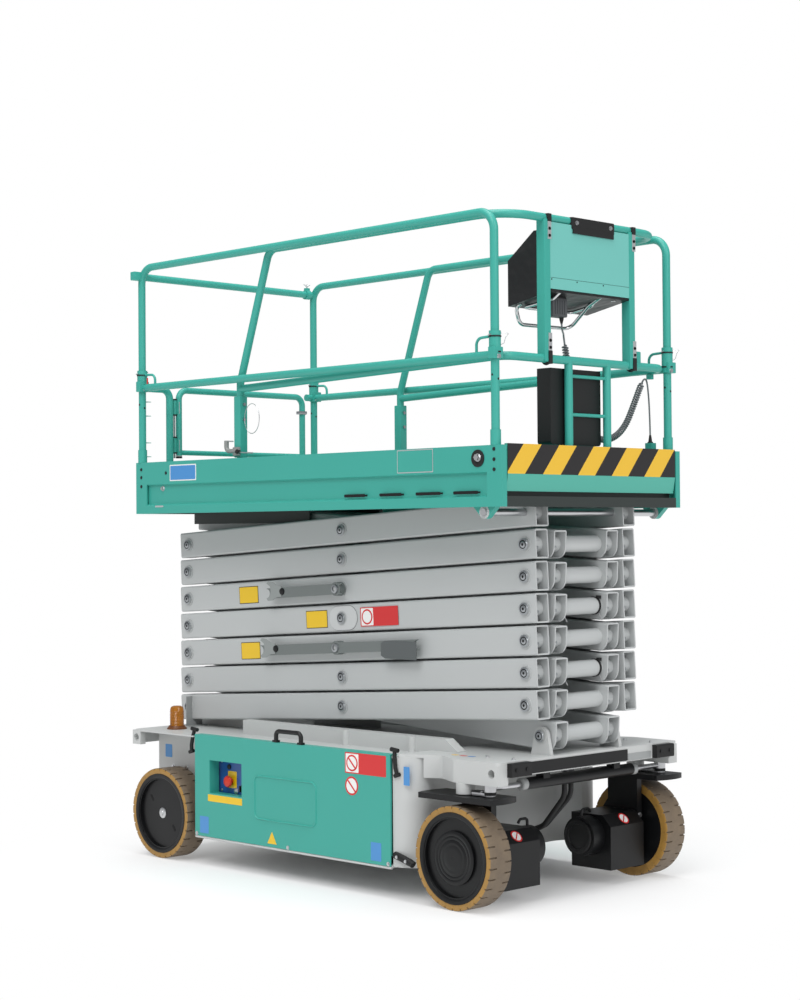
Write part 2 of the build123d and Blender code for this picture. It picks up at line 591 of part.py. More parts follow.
with BuildPart() as buffers:
    for side in (-1, 1):
        start = side * BUFFER_Y
        slab((CHASSIS_FRONT_X, CHASSIS_FRONT_X + BUFFER[0]), (start, start + side * BUFFER[1]),
             (BUFFER_Z, BUFFER_Z + BUFFER[2]))
    fillet(buffers.edges().filter_by(Axis.Y).group_by(Axis.X)[-1], 6)
finish(buffers, "front_buffers")

with BuildPart() as batteries:
    inside = SPINE_HALF + BATTERY[1] / 9
    for side in (-1, 1):
        for x in BATTERY_X:
            slab((x, x + BATTERY[0]), (side * inside, side * (inside + BATTERY[1])),
                 (CHASSIS_BOTTOM + PLATE, CHASSIS_BOTTOM + PLATE + BATTERY[2]))
finish(batteries, "battery_blocks")

for side, tag in ((-1, "near"), (1, "far")):
    out, into = side * CHASSIS_HALF, side * (CHASSIS_HALF - COVER_SHEET)
    x = (BAY_X[0] + COVER_GAP, BAY_X[1] - COVER_GAP)
    bottom = CHASSIS_BOTTOM + SEAT
    with BuildPart() as cover:
        slab(x, (into, out), (bottom, COVER_TOP))
        slab(x, (out - side * COVER_LIP, out), (COVER_TOP - COVER_SHEET, COVER_TOP))
        for edge in (-1, 1):
            end = x[0] if edge < 0 else x[1]
            slab((end, end - edge * COVER_SHEET), (side * floor_half, out),
                 (bottom + COVER_LIP, COVER_TOP))
        if side < 0:
            back = into - side * CONTROL_DEPTH
            frame_x = (CONTROL_HOLE_X[0] - COVER_SHEET, CONTROL_HOLE_X[1] + COVER_SHEET)
            slab(frame_x, (into, back),
                 (CONTROL_HOLE_Z[0] - COVER_SHEET, CONTROL_HOLE_Z[1] + COVER_SHEET))
            slab(CONTROL_HOLE_X, (out + side, back + 1), CONTROL_HOLE_Z, Mode.SUBTRACT)
        grip = (-143.0, 17.0)
        handle_y = out - side * 12
        tube([(grip[0], handle_y, COVER_TOP - 1), (grip[0], handle_y, COVER_TOP + 48),
              (grip[1], handle_y, COVER_TOP + 48), (grip[1], handle_y, COVER_TOP - 1)], [20, 20], 8)
    finish(cover, f"side_cover_{tag}")

with BuildPart() as panel:
    face = -CHASSIS_HALF + COVER_SHEET + CONTROL_DEPTH + 2 * COVER_GAP
    slab((CONTROL_HOLE_X[0] - 20, CONTROL_HOLE_X[1] + 16), (face, -SPINE_HALF),
         (CONTROL_HOLE_Z[0] - 25, CONTROL_HOLE_Z[1] + 19))
finish(panel, "ground_controls")

with BuildPart() as beacon:
    upright(*BEACON_AT, (DECK_Z, DECK_Z + BEACON_BASE[1]), BEACON_BASE[0])
    upright(*BEACON_AT, (DECK_Z + BEACON_BASE[1], DECK_Z + BEACON_HEIGHT), BEACON_RADIUS)
    fillet(beacon.edges().group_by(Axis.Z)[-1], 10)
finish(beacon, "beacon")

# ---------------------------------------------------------------- running gear
for side, tag in ((-1, "near"), (1, "far")):
    inner = side * (WHEEL_Y - WHEEL_WIDTH / 2)
    outer = side * (WHEEL_Y + WHEEL_WIDTH / 2)
    hub_face = outer - side * HUB_RECESS
    yoke_top = YOKE_Z + YOKE_THICK
    lever_z = STEER_ROD_Z - STEER_EYE[1] / 2 - SEAT
    with BuildPart() as knuckle:
        with BuildSketch(Plane.XY.offset(YOKE_Z)):
            with Locations((AXLE_X, side * KINGPIN_Y)):
                Circle(YOKE_RADIUS)
            for edge in (HALF_WIDTH - 10, LEG_Y[0]):
                away = side if edge > KINGPIN_Y else -side
                with Locations((AXLE_X, side * edge + away * YOKE_RADIUS)):
                    Rectangle(2 * YOKE_RADIUS, 2 * YOKE_RADIUS, mode=Mode.SUBTRACT)
        extrude(amount=YOKE_THICK)
        slab((AXLE_X - LEG_HALF_X, AXLE_X + LEG_HALF_X), (side * LEG_Y[0], side * LEG_Y[1]),
             (LEG_BOTTOM, yoke_top))
        upright(AXLE_X, side * KINGPIN_Y, (yoke_top - 1, DECK_Z - 30), KINGPIN_RADIUS)
        shaft(AXLE_X, WHEEL_RADIUS, (side * LEG_Y[0], hub_face - side * 4), AXLE_RADIUS)
        eye_x = AXLE_X + STEER_LEVER
        with BuildSketch(Plane.XY.offset(lever_z - LEVER_THICK)):
            with Locations((eye_x, side * KINGPIN_Y)):
                Circle(2 * LEVER_THICK)
            with Locations(((AXLE_X + KINGPIN_HOUSING_RADIUS + 8 + eye_x) / 2, side * KINGPIN_Y)):
                Rectangle(eye_x - AXLE_X - KINGPIN_HOUSING_RADIUS - 8, 3 * LEVER_THICK)
        extrude(amount=LEVER_THICK)
        slab((AXLE_X + KINGPIN_HOUSING_RADIUS + 8, AXLE_X + 2 * KINGPIN_HOUSING_RADIUS),
             (side * (KINGPIN_Y - 18), side * (KINGPIN_Y + 18)), (yoke_top - 1, lever_z - 1))
    finish(knuckle, f"knuckle_{tag}")
    with BuildPart() as motor:
        shaft(AXLE_X, WHEEL_RADIUS, (side * MOTOR_Y, side * LEG_Y[0]), MOTOR_RADIUS)
        front_x = AXLE_X + GUARD_REACH
        with BuildSketch(Plane(origin=(0, side * GUARD_Y, 0), x_dir=(1, 0, 0), z_dir=(0, -1, 0))):
            Polygon((AXLE_X - 100, GUARD_Z[0]), (front_x, GUARD_Z[0]),
                    (front_x, GUARD_Z[1] - GUARD_SLOPE),
                    (front_x - GUARD_SLOPE, GUARD_Z[1]), (AXLE_X - 100, GUARD_Z[1]), align=None)
        extrude(amount=-side * (LEG_Y[0] - GUARD_Y))
    finish(motor, f"drive_motor_{tag}")
    for end, x in (("front", AXLE_X), ("rear", -AXLE_X)):
        with BuildPart() as tyre:
            shaft(x, WHEEL_RADIUS, (inner, outer), WHEEL_RADIUS)
            fillet(tyre.edges().filter_by(GeomType.CIRCLE), TYRE_ROUND)
            shaft(x, WHEEL_RADIUS, (inner - side, outer + side), RIM_RADIUS, Mode.SUBTRACT)
        finish(tyre, f"tyre_{end}_{tag}")
        with BuildPart() as hub:
            shaft(x, WHEEL_RADIUS, (inner, hub_face + side * HUB_DISH), RIM_RADIUS)
            shaft(x, WHEEL_RADIUS, (hub_face, outer), RIM_RADIUS - HUB_LIP, Mode.SUBTRACT)
            if end == "front":
                shaft(x, WHEEL_RADIUS, (hub_face, hub_face + side * HUB_DISH), AXLE_CAP_RADIUS)
            shaft(x, WHEEL_RADIUS, (inner - side, hub_face - side * 3.7), AXLE_RADIUS + PIN_CLEAR,
                  Mode.SUBTRACT)
        finish(hub, f"hub_{end}_{tag}")

# steering cylinder across the front, its rod's eyes over the knuckles' levers
steer_x = AXLE_X + STEER_LEVER
with BuildPart() as steer:
    shaft(steer_x, STEER_ROD_Z, (-STEER_BARREL_HALF, STEER_BARREL_HALF), STEER_BARREL_RADIUS)
    for side in (-1, 1):
        slab((steer_x - 20, steer_x + 20), (side * 200, side * 240), (STEER_ROD_Z, DECK_Z))
    shaft(steer_x, STEER_ROD_Z, (-STEER_BARREL_HALF - 1, STEER_BARREL_HALF + 1),
          STEER_ROD_RADIUS + PIN_CLEAR, Mode.SUBTRACT)
finish(steer, "steer_cylinder")
with BuildPart() as steer_rod:
    shaft(steer_x, STEER_ROD_Z, (-KINGPIN_Y, KINGPIN_Y), STEER_ROD_RADIUS)
    for side in (-1, 1):
        upright(steer_x, side * KINGPIN_Y,
                (STEER_ROD_Z - STEER_EYE[1] / 2, STEER_ROD_Z + STEER_EYE[1] / 2),
                STEER_EYE[0])
finish(steer_rod, "steer_rod")

# ---------------------------------------------------------------- platform
side_inside = PLATFORM_HALF_Y - SIDE_LIP
with BuildPart() as sides:
    for side in (-1, 1):
        face, web = PLATFORM_HALF_Y, PLATFORM_HALF_Y - RECESS_DEPTH
        sheet = SIDE_SHEET
        outline = ((face, PLATFORM_BOTTOM), (face, RECESS_Z[0] - RECESS_SLOPE), (web, RECESS_Z[0]),
                   (web, RECESS_Z[1]),
                   (face, RECESS_Z[1] + RECESS_SLOPE), (face, TOE_TOP), (side_inside, TOE_TOP),
                   (side_inside, TOE_TOP - sheet), (face - sheet, TOE_TOP - sheet),
                   (face - sheet, RECESS_Z[1] + RECESS_SLOPE + sheet / 2),
                   (web - sheet, RECESS_Z[1] + sheet / 2),
                   (web - sheet, RECESS_Z[0] - sheet / 2),
                   (face - sheet, RECESS_Z[0] - RECESS_SLOPE - sheet / 2),
                   (face - sheet, PLATFORM_BOTTOM + sheet), (side_inside, PLATFORM_BOTTOM + sheet),
                   (side_inside, PLATFORM_BOTTOM))
        with BuildSketch(Plane.YZ.offset(-PLATFORM_HALF_X)):
            with BuildLine():
                Polyline(*((side * y, z) for y, z in outline), close=True)
            make_face()
        extrude(amount=2 * PLATFORM_HALF_X)
        for x in SLOTS:
            slab(x, (side * side_inside, side * (face + 1)),
                 (SLOT_Z - SLOT_HEIGHT / 2, SLOT_Z + SLOT_HEIGHT / 2), Mode.SUBTRACT)
        for end in (-1, 1):
            tip = end * PLATFORM_HALF_X
            slab((tip, tip - end * CORNER_WIDTH), (side * (face - sheet), side * face),
                 (PLATFORM_BOTTOM, TOE_TOP))
            slab((tip, tip - end * sheet), (side * side_inside, side * face), (PLATFORM_BOTTOM, TOE_TOP))
        with BuildSketch(Plane(origin=(FRONT_PIN_X, side * EAR_Y[0], TOP_PIN_Z), x_dir=(1, 0, 0),
                               z_dir=(0, -1, 0))):
            Circle(EAR_RADIUS)
            Polygon((-EAR_HALF_X, PLATFORM_BOTTOM - TOP_PIN_Z), (EAR_HALF_X, PLATFORM_BOTTOM - TOP_PIN_Z),
                    (EAR_RADIUS * 0.6, -EAR_RADIUS * 0.8), (-EAR_RADIUS * 0.6, -EAR_RADIUS * 0.8),
                    align=None)
        extrude(amount=-side * (EAR_Y[1] - EAR_Y[0]))
        slab((FRONT_PIN_X - EAR_HALF_X, FRONT_PIN_X + EAR_HALF_X),
             (side * EAR_Y[0], side * (side_inside + SIDE_SHEET)),
             (PLATFORM_BOTTOM, PLATFORM_BOTTOM + SIDE_SHEET))
        shaft(FRONT_PIN_X, TOP_PIN_Z, (side * (EAR_Y[0] - 1), side * (EAR_Y[1] + 1)),
              ROD_RADIUS + PIN_CLEAR, Mode.SUBTRACT)
finish(sides, "platform_sides")

floor_bottom = FLOOR_Z - FLOOR_THICK
with BuildPart() as platform:
    web_inside = PLATFORM_HALF_Y - RECESS_DEPTH - SIDE_SHEET
    end_inside = PLATFORM_HALF_X - SIDE_SHEET
    slab((-end_inside, EXT_FRONT_X), (-web_inside, web_inside), (floor_bottom, FLOOR_Z))
    for x, top in ((-PLATFORM_HALF_X, SILL_TOP), (PLATFORM_HALF_X - SILL_THICK, FRONT_SILL_TOP)):
        slab((x, x + SILL_THICK), (-side_inside + SEAT, side_inside - SEAT), (PLATFORM_BOTTOM, top))
    slab((EXT_FRONT_X - SILL_THICK, PLATFORM_HALF_X), (-side_inside + SEAT, side_inside - SEAT),
         (FRONT_SILL_TOP - SIDE_SHEET, FRONT_SILL_TOP))
    slab((EXT_FRONT_X - SILL_THICK, EXT_FRONT_X), (-side_inside + SEAT, side_inside - SEAT),
         (FRONT_SILL_TOP - SIDE_SHEET, FLOOR_Z))
    for side in (-1, 1):
        slab((-end_inside, EXT_FRONT_X), (side * JOIST_Y[0], side * JOIST_Y[1]),
             (floor_bottom - JOIST_DEPTH, floor_bottom + 1))
    channel(TOP_PIN_Z, True, floor_bottom + 1)
finish(platform, "platform_frame")

with BuildPart() as rod:
    shaft(FRONT_PIN_X, TOP_PIN_Z, (-EAR_Y[1] - ROD_OVERHANG, EAR_Y[1] + ROD_OVERHANG), ROD_RADIUS)
finish(rod, "pivot_rod")

# main guard rails, and at the rear the gate's post, its latch stub and the top bar
with BuildPart() as rails:
    for side in (-1, 1):
        y = side * RAIL_Y
        tube([(POST_X[0], y, TOE_TOP), (POST_X[0], y, RAIL_TOP_Z), (POST_X[1], y, RAIL_TOP_Z),
              (POST_X[1], y, TOE_TOP)],
             [RAIL_BEND] * 2)
        tube([(POST_X[0], y, MID_RAIL_Z), (POST_X[1], y, MID_RAIL_Z)], [])
        for x in POST_X:
            upright(x, y, (TOE_TOP, TOE_TOP + POST_FOOT), RAIL_RADIUS + SOCKET_WALL)
    x = POST_X[0]
    tube([(x, GATE_POST_Y, TOE_TOP - SIDE_LIP), (x, GATE_POST_Y, MID_RAIL_Z), (x, -RAIL_Y, MID_RAIL_Z)],
         [GATE_BEND])
    tube([(x, RAIL_Y, MID_RAIL_Z), (x, GATE_STUB_Y, MID_RAIL_Z)], [])
    tube([(x, -RAIL_Y, RAIL_TOP_Z - REAR_BAR_DROP), (x, RAIL_Y, RAIL_TOP_Z - REAR_BAR_DROP)], [])
    slab((-PLATFORM_HALF_X, x), (GATE_POST_Y - RAIL_RADIUS, GATE_POST_Y + RAIL_RADIUS),
         (SILL_TOP, TOE_TOP - SIDE_LIP))
finish(rails, "guard_rails")

with BuildPart() as gate:
    x = GATE_HINGE[0]
    tube([(x, GATE_Y[0], GATE_BOTTOM), (x, GATE_Y[0], MID_RAIL_Z), (x, GATE_Y[1], MID_RAIL_Z),
          (x, GATE_Y[1], GATE_BOTTOM)],
         [GATE_BEND] * 2, GATE_TUBE_RADIUS)
    tube([(x, GATE_Y[0], GATE_BOTTOM + GATE_TUBE_RADIUS), (x, GATE_Y[1], GATE_BOTTOM + GATE_TUBE_RADIUS)],
         [], 12)
    for z in GATE_BARREL_Z:
        upright(x, GATE_HINGE[1], (z - GATE_BARREL_HALF, z + GATE_BARREL_HALF), GATE_BARREL_RADIUS)
        slab((x - 5, x + 5), (GATE_HINGE[1], GATE_Y[0] - 5),
             (z - GATE_BARREL_HALF + 5, z + GATE_BARREL_HALF - 5))
finish(gate, "gate")

# ---------------------------------------------------------------- sliding deck extension
with BuildPart() as ext_deck:
    slab((EXT_REAR_X, BOARD_X), (-EXT_SIDE_Y, EXT_SIDE_Y), (EXT_DECK_Z, EXT_TOP_Z))
    for side in (-1, 1):
        slab((EXT_POST_X - 50, BOARD_X), (side * (EXT_SIDE_Y - EXT_SIDE_SHEET), side * EXT_SIDE_Y),
             (EXT_DECK_Z, TOE_TOP - 6))
        slab((EXT_REAR_X, BOARD_X), (side * (EXT_RAIL_Y - 30), side * (EXT_RAIL_Y - 10)),
             (FLOOR_Z, EXT_DECK_Z + 1))
finish(ext_deck, "extension_deck")

with BuildPart() as board:
    with BuildSketch(Plane(origin=(0, -BOARD_HALF, 0), x_dir=(1, 0, 0), z_dir=(0, -1, 0))):
        Polygon((BOARD_X, BOARD_BOTTOM), (PLATFORM_HALF_X - BOARD_BEVEL, BOARD_BOTTOM),
                (PLATFORM_HALF_X, BOARD_FOLD),
                (PLATFORM_HALF_X, BOARD_TOP), (BOARD_X, BOARD_TOP), align=None)
    extrude(amount=-2 * BOARD_HALF)
finish(board, "hazard_board")

lean_z, lean_x = EXT_CURVE
with BuildPart() as ext_rail:
    tube([(EXT_POST_X, -EXT_RAIL_Y, EXT_TOP_Z), (EXT_POST_X, -EXT_RAIL_Y, lean_z),
          (lean_x, -EXT_RAIL_Y, RAIL_TOP_Z),
          (EXT_FRONT_X, -EXT_RAIL_Y, RAIL_TOP_Z), (EXT_FRONT_X, EXT_RAIL_Y, RAIL_TOP_Z),
          (lean_x, EXT_RAIL_Y, RAIL_TOP_Z),
          (EXT_POST_X, EXT_RAIL_Y, lean_z), (EXT_POST_X, EXT_RAIL_Y, EXT_TOP_Z)],
         [EXT_BEND, EXT_BEND, EXT_FRONT_BEND, EXT_FRONT_BEND, EXT_BEND, EXT_BEND])
    tube([(EXT_POST_X, -EXT_RAIL_Y, MID_RAIL_Z - 40), (EXT_FRONT_X, -EXT_RAIL_Y, MID_RAIL_Z),
          (EXT_FRONT_X, EXT_RAIL_Y, MID_RAIL_Z), (EXT_POST_X, EXT_RAIL_Y, MID_RAIL_Z - 40)],
          [EXT_BEND] * 2)
    for side in (-1, 1):
        tube([(EXT_FRONT_X, side * EXT_UPRIGHT_Y, MID_RAIL_Z),
              (EXT_FRONT_X, side * EXT_UPRIGHT_Y, EXT_TOP_Z)], [])
        tube([(EXT_FRONT_X, side * LEG_AT_Y, MID_RAIL_Z), (EXT_FRONT_X, side * LEG_AT_Y, RAIL_TOP_Z)], [])
    for z in RUNG_Z:
        tube([(EXT_FRONT_X, -EXT_UPRIGHT_Y, z), (EXT_FRONT_X, EXT_UPRIGHT_Y, z)], [], RUNG_RADIUS)
finish(ext_rail, "extension_rail")

with BuildPart() as box:
    half = LEG_AT_Y - RAIL_RADIUS - SEAT
    with BuildSketch(Plane.XZ.offset(-half)):
        Polygon(*COVER_PROFILE, align=None)
    extrude(amount=2 * half)
    (rear_x, rear_z), (front_x, front_z) = COVER_PROFILE[0], COVER_PROFILE[-1]
    slope = (front_z - rear_z) / (front_x - rear_x)
    with BuildSketch(Plane.XZ.offset(-HANDSET_Y[1])):
        Polygon(*((x, HANDSET_Z) for x in HANDSET_X),
                *((x, rear_z + (x - rear_x) * slope - SEAT) for x in reversed(HANDSET_X)), align=None)
    extrude(amount=HANDSET_Y[1] - HANDSET_Y[0])
finish(box, "control_box")

with BuildPart() as documents:
    back = EXT_FRONT_X - RAIL_RADIUS - SEAT
    slab((back - DOCUMENT_BOX[0], back), DOCUMENT_Y, DOCUMENT_BOX[2:])
    fillet(documents.edges().filter_by(Axis.X).group_by(Axis.Z)[0], 14)
finish(documents, "document_box")

# ---------------------------------------------------------------- control cord
with BuildPart() as fittings:
    slab(SOCKET_X, (EXT_RAIL_Y - 12, EXT_SIDE_Y - EXT_SIDE_SHEET - SEAT), SOCKET_Z)
    rail_z = MID_RAIL_Z - 40 * (EXT_FRONT_X - HOOK_X[1]) / (EXT_FRONT_X - EXT_POST_X)
    slab(HOOK_X, (EXT_RAIL_Y - 10, EXT_RAIL_Y + 10),
         (rail_z - RAIL_RADIUS - HOOK_DROP, rail_z - RAIL_RADIUS - 1))
finish(fittings, "cord_fittings")

# thin lead from the box, curly stretch as its outer shape, and thin tail to the socket
CORD_LEAD = [(1070, -96, HANDSET_Z), (1070, -96, 2312), (1058, -78, 2293), (1034, -46, 2286),
             (1016, -22, 2285), (1000, -1.8, 2273), (1000, 4, 2243)]
CORD_COIL = [(1000, 4, 2243), (1000, 22, 2150), (1000, 48, 2055), (1000, 88, 1965), (1000, 150, 1890),
             (1000, 235, 1853), (1002, 322, 1870), (1006, 390, 1924), (1010, 438, 2010),
             (1015, 474, 2084),
             (1018, 486, 2108)]
CORD_TAIL = [(1018, 486, 2108), (1019.5, 492, 2120), (1028, 498, 2126), (1036, 500, 2106),
             (1043, 501, 2030),
             (1046, 501, 1960), (1047, 502, 1900), (1047, 502, 1850)]
for name, points, radius in (("control_cord_lead", CORD_LEAD, LEAD_RADIUS),
                             ("control_cord_coil", CORD_COIL, CORD_RADIUS),
                             ("control_cord_tail", CORD_TAIL, LEAD_RADIUS)):
    route = [Vector(*p) for p in points]
    runs = [b - a for a, b in zip(route, route[1:])]
    bends = [0.45 * min(a.length, b.length) / math.tan(math.radians(a.get_angle(b)) / 2) for a,
             b in zip(runs, runs[1:])]
    with BuildPart() as cord:
        tube(points, bends, radius)
    finish(cord, name)
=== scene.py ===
"""Electric scissor lift, dressed for the camera. Metres; +X is forward, towards the steered wheels, +Y is
left and +Z is up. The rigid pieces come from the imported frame, and each section finishes one group."""

import math

import bmesh
import bpy
from mathutils import Matrix, Vector


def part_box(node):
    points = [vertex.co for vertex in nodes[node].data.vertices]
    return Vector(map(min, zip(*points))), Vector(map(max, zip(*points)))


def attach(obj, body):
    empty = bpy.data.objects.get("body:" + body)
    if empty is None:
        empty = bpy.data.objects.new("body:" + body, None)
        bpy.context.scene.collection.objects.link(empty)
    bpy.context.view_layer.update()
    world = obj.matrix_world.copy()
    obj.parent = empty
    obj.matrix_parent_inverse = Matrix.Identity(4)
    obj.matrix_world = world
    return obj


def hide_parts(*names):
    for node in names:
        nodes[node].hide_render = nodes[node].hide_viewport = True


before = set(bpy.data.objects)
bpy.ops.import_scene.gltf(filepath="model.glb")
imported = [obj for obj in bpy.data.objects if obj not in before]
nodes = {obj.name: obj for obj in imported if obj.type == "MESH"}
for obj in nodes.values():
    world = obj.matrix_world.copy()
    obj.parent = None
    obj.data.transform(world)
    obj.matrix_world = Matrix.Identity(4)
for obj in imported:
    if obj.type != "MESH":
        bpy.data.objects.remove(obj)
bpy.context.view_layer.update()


# ---------------------------------------------------------------- chassis
# Welded steel body with its deck, rear fender and wheel housing, stove-enamelled light grey. Sprayed enamel
# is smooth and satin, with a faint orange-peel skin and slow changes of tone where the coat is thicker.
def linear(code):
    """Turns an sRGB hex code into the linear colour that a shader reads."""
    parts = [int(code[i : i + 2], 16) / 255 for i in (0, 2, 4)]
    return [c / 12.92 if c <= 0.04045 else ((c + 0.055) / 1.055) ** 2.4 for c in parts] + [1.0]


def set_up(tree, node, settings):
    """Gives a node its options and sockets. A value that is another node's output is joined to the socket."""
    for key, value in settings.items():
        if isinstance(value, bpy.types.NodeSocket):
            tree.links.new(value, node.inputs[key])
        elif isinstance(key, str) and hasattr(node, key):
            setattr(node, key, value)
        else:
            node.inputs[key].default_value = value
    return node


def add_node(tree, kind, settings):
    """Adds a node, sets it up and returns its outputs."""
    return set_up(tree, tree.nodes.new(kind), settings).outputs


def reckon(tree, operation, *values):
    """One step of arithmetic on numbers and outputs."""
    return add_node(tree, "ShaderNodeMath", {"operation": operation, **dict(enumerate(values))})[0]


def mix(tree, low, high, factor):
    """A colour between two."""
    return add_node(tree, "ShaderNodeMix", {"data_type": "RGBA", 0: factor, 6: low, 7: high})[2]


def noise(tree, place, size, detail, rough=0.5):
    """Clouds of noise, their size in metres."""
    settings = {"Scale": 1 / size, "Detail": detail, "Roughness": rough, "Vector": place}
    return add_node(tree, "ShaderNodeTexNoise", settings)[0]


def between(tree, source, low, high):
    """Spreads a source from nought to one over another span."""
    return add_node(tree, "ShaderNodeMapRange", {"To Min": low, "To Max": high, "Value": source})[0]


def bumps(tree, source, strength, depth):
    """Bumps from a source, their depth in metres."""
    return add_node(tree, "ShaderNodeBump", {"Strength": strength, "Distance": depth, "Height": source})[0]


def new_material(name):
    """An empty node material with its shader, and the object's own coordinates in metres."""
    material = bpy.data.materials.new(name)
    material.use_nodes = True
    tree = material.node_tree
    return material, tree, tree.nodes["Principled BSDF"], add_node(tree, "ShaderNodeTexCoord", {})["Object"]


def enamel(name, colour, gloss=0.36, tone=0.93, skin=0.05):
    """Stove enamel on steel: one colour with slow changes of tone, and orange peel drawn 6 mm coarse."""
    material, tree, shader, place = new_material(name)
    light = linear(colour)
    dark = [c * tone for c in light[:3]] + [1.0]
    set_up(tree, shader, {"Base Color": mix(tree, dark, light, noise(tree, place, 0.45, 3)),
                          "Roughness": between(tree, noise(tree, place, 0.12, 2), gloss, gloss + 0.12),
                          "Normal": bumps(tree, noise(tree, place, 0.006, 1), skin, 0.0004)})
    return material


def dress(material, *names):
    """Gives CAD nodes their finish."""
    for name in names:
        nodes[name].data.materials.clear()
        nodes[name].data.materials.append(material)


chassis_grey = enamel("stove_enamel_light_grey", "C9CBCA")
black_enamel = enamel("stove_enamel_black", "0D0E10", gloss=0.34, tone=0.8)
black_enamel.node_tree.nodes["Principled BSDF"].inputs["Specular IOR Level"].default_value = 0.35
dress(chassis_grey, "chassis_frame", "wheel_housing", "deck_rails", "rear_fender")


def moulded(name, colour, rough):
    """Moulded rubber or plastic: even colour and a fine grain, drawn 3 mm coarse so that it shows."""
    material, tree, shader, place = new_material(name)
    grain = noise(tree, place, 0.003, 2)
    set_up(tree, shader, {"Base Color": linear(colour), "Normal": bumps(tree, grain, 0.08, 0.0003),
                          "Roughness": between(tree, grain, rough - 0.06, rough + 0.06)})
    return material


def plated(name, colour, rough):
    """Zinc plate or ground steel: bright metal with a faint cloudy haze, 30 mm across."""
    material, tree, shader, place = new_material(name)
    haze = noise(tree, place, 0.03, 3)
    set_up(tree, shader, {"Base Color": linear(colour), "Metallic": 1.0,
                          "Roughness": between(tree, haze, rough - 0.08, rough + 0.1)})
    return material


def printed(name, colour):
    """Self-adhesive vinyl, screen printed in one flat colour: smooth, a little glossier than paint."""
    material, tree, shader, place = new_material(name)
    crease = noise(tree, place, 0.05, 1)
    set_up(tree, shader, {"Base Color": linear(colour), "Roughness": 0.28,
                          "Normal": bumps(tree, crease, 0.1, 0.0005)})
    return material


black_rubber = moulded("moulded_rubber_black", "0F0F10", 0.62)
black_plastic = moulded("moulded_abs_black", "0E0F10", 0.48)
bright_steel = plated("zinc_plated_steel", "C9CACC", 0.32)
white_vinyl = printed("vinyl_white", "F2F2F0")
red_vinyl = printed("vinyl_red", "D5282A")
yellow_vinyl = printed("vinyl_yellow", "EFC41C")
blue_vinyl = printed("vinyl_blue", "4A90D0")


def new_object(name, data):
    """An object in the scene."""
    made = bpy.data.objects.new(name, data)
    bpy.context.scene.collection.objects.link(made)
    return made


def finish(name, body, material, bm, smooth=True):
    """Turns a bmesh into an object that rides on a body."""
    bmesh.ops.remove_doubles(bm, verts=bm.verts, dist=1e-6)
    bmesh.ops.recalc_face_normals(bm, faces=bm.faces)
    mesh = bpy.data.meshes.new(name)
    bm.to_mesh(mesh)
    bm.free()
    mesh.materials.append(material)
    if smooth:
        mesh.shade_smooth()
        mesh.set_sharp_from_angle(angle=math.radians(38))
    made = new_object(name, mesh)
    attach(made, body)
    return made


def piece(name, body, material, *parts, smooth=True):
    """An object made of parts, each an add function and what it takes."""
    bm = bmesh.new()
    for add, *given in parts:
        add(bm, *given)
    return finish(name, body, material, bm, smooth)


def add_block(bm, low, high, edge=0.0):
    """A box between two corners, with its edges rounded."""
    low, high = Vector(map(min, low, high)), Vector(map(max, low, high))
    place = Matrix.Translation((low + high) / 2) @ Matrix.Diagonal((*(high - low), 1))
    corners = bmesh.ops.create_cube(bm, size=1.0, matrix=place)["verts"]
    if edge:
        edges = list({e for v in corners for e in v.link_edges})
        bmesh.ops.bevel(bm, geom=edges, offset=edge, segments=2, affect="EDGES", profile=0.7)


def add_rod(bm, start, end, radius, sides=20, tip=None):
    """A round bar from one point to another, or a cone where it has a tip radius."""
    start, end = Vector(start), Vector(end)
    along = end - start
    place = Matrix.Translation((start + end) / 2) @ along.to_track_quat("Z", "Y").to_matrix().to_4x4()
    bmesh.ops.create_cone(bm, cap_ends=True, segments=sides, radius1=radius,
                          radius2=radius if tip is None else tip, depth=along.length, matrix=place)


def add_plate(bm, outline, origin, across, up, thick):
    """A flat sheet of some thickness, its outline given in a plane by an origin and two directions."""
    origin, across, up = Vector(origin), Vector(across), Vector(up)
    face = bm.faces.new([bm.verts.new(origin + across * u + up * v) for u, v in outline])
    raised = bmesh.ops.extrude_face_region(bm, geom=[face])["geom"]
    bmesh.ops.translate(bm, verts=[g for g in raised if isinstance(g, bmesh.types.BMVert)],
                        vec=across.cross(up).normalized() * thick)


def rounded(width, height, radius, steps=5):
    """Outline of a rectangle with round corners, about its centre."""
    outline = []
    for quarter, (su, sv) in enumerate(((1, 1), (-1, 1), (-1, -1), (1, -1))):
        for step in range(steps + 1):
            angle = math.pi / 2 * (quarter + step / steps)
            outline.append((su * (width / 2 - radius) + radius * math.cos(angle),
                            sv * (height / 2 - radius) + radius * math.sin(angle)))
    return outline


def circle(radius, sides=32):
    """Outline of a circle about its centre."""
    return [(radius * math.cos(2 * math.pi * i / sides), radius * math.sin(2 * math.pi * i / sides))
            for i in range(sides)]


def bend(corners, radius, steps=6):
    """A route through straight runs, with an arc of one radius at each corner."""
    corners = [Vector(c) for c in corners]
    route = [corners[0]]
    for before, corner, after in zip(corners, corners[1:], corners[2:]):
        back, on = (before - corner).normalized(), (after - corner).normalized()
        half = back.angle(on) / 2
        reach = radius / math.tan(half)
        centre = corner + (back + on).normalized() * radius / math.sin(half)
        first, last = corner + back * reach - centre, corner + on * reach - centre
        turn, axis = first.angle(last), first.cross(last).normalized()
        route += [centre + Matrix.Rotation(turn * i / steps, 3, axis) @ first for i in range(steps + 1)]
    return route + [corners[-1]]


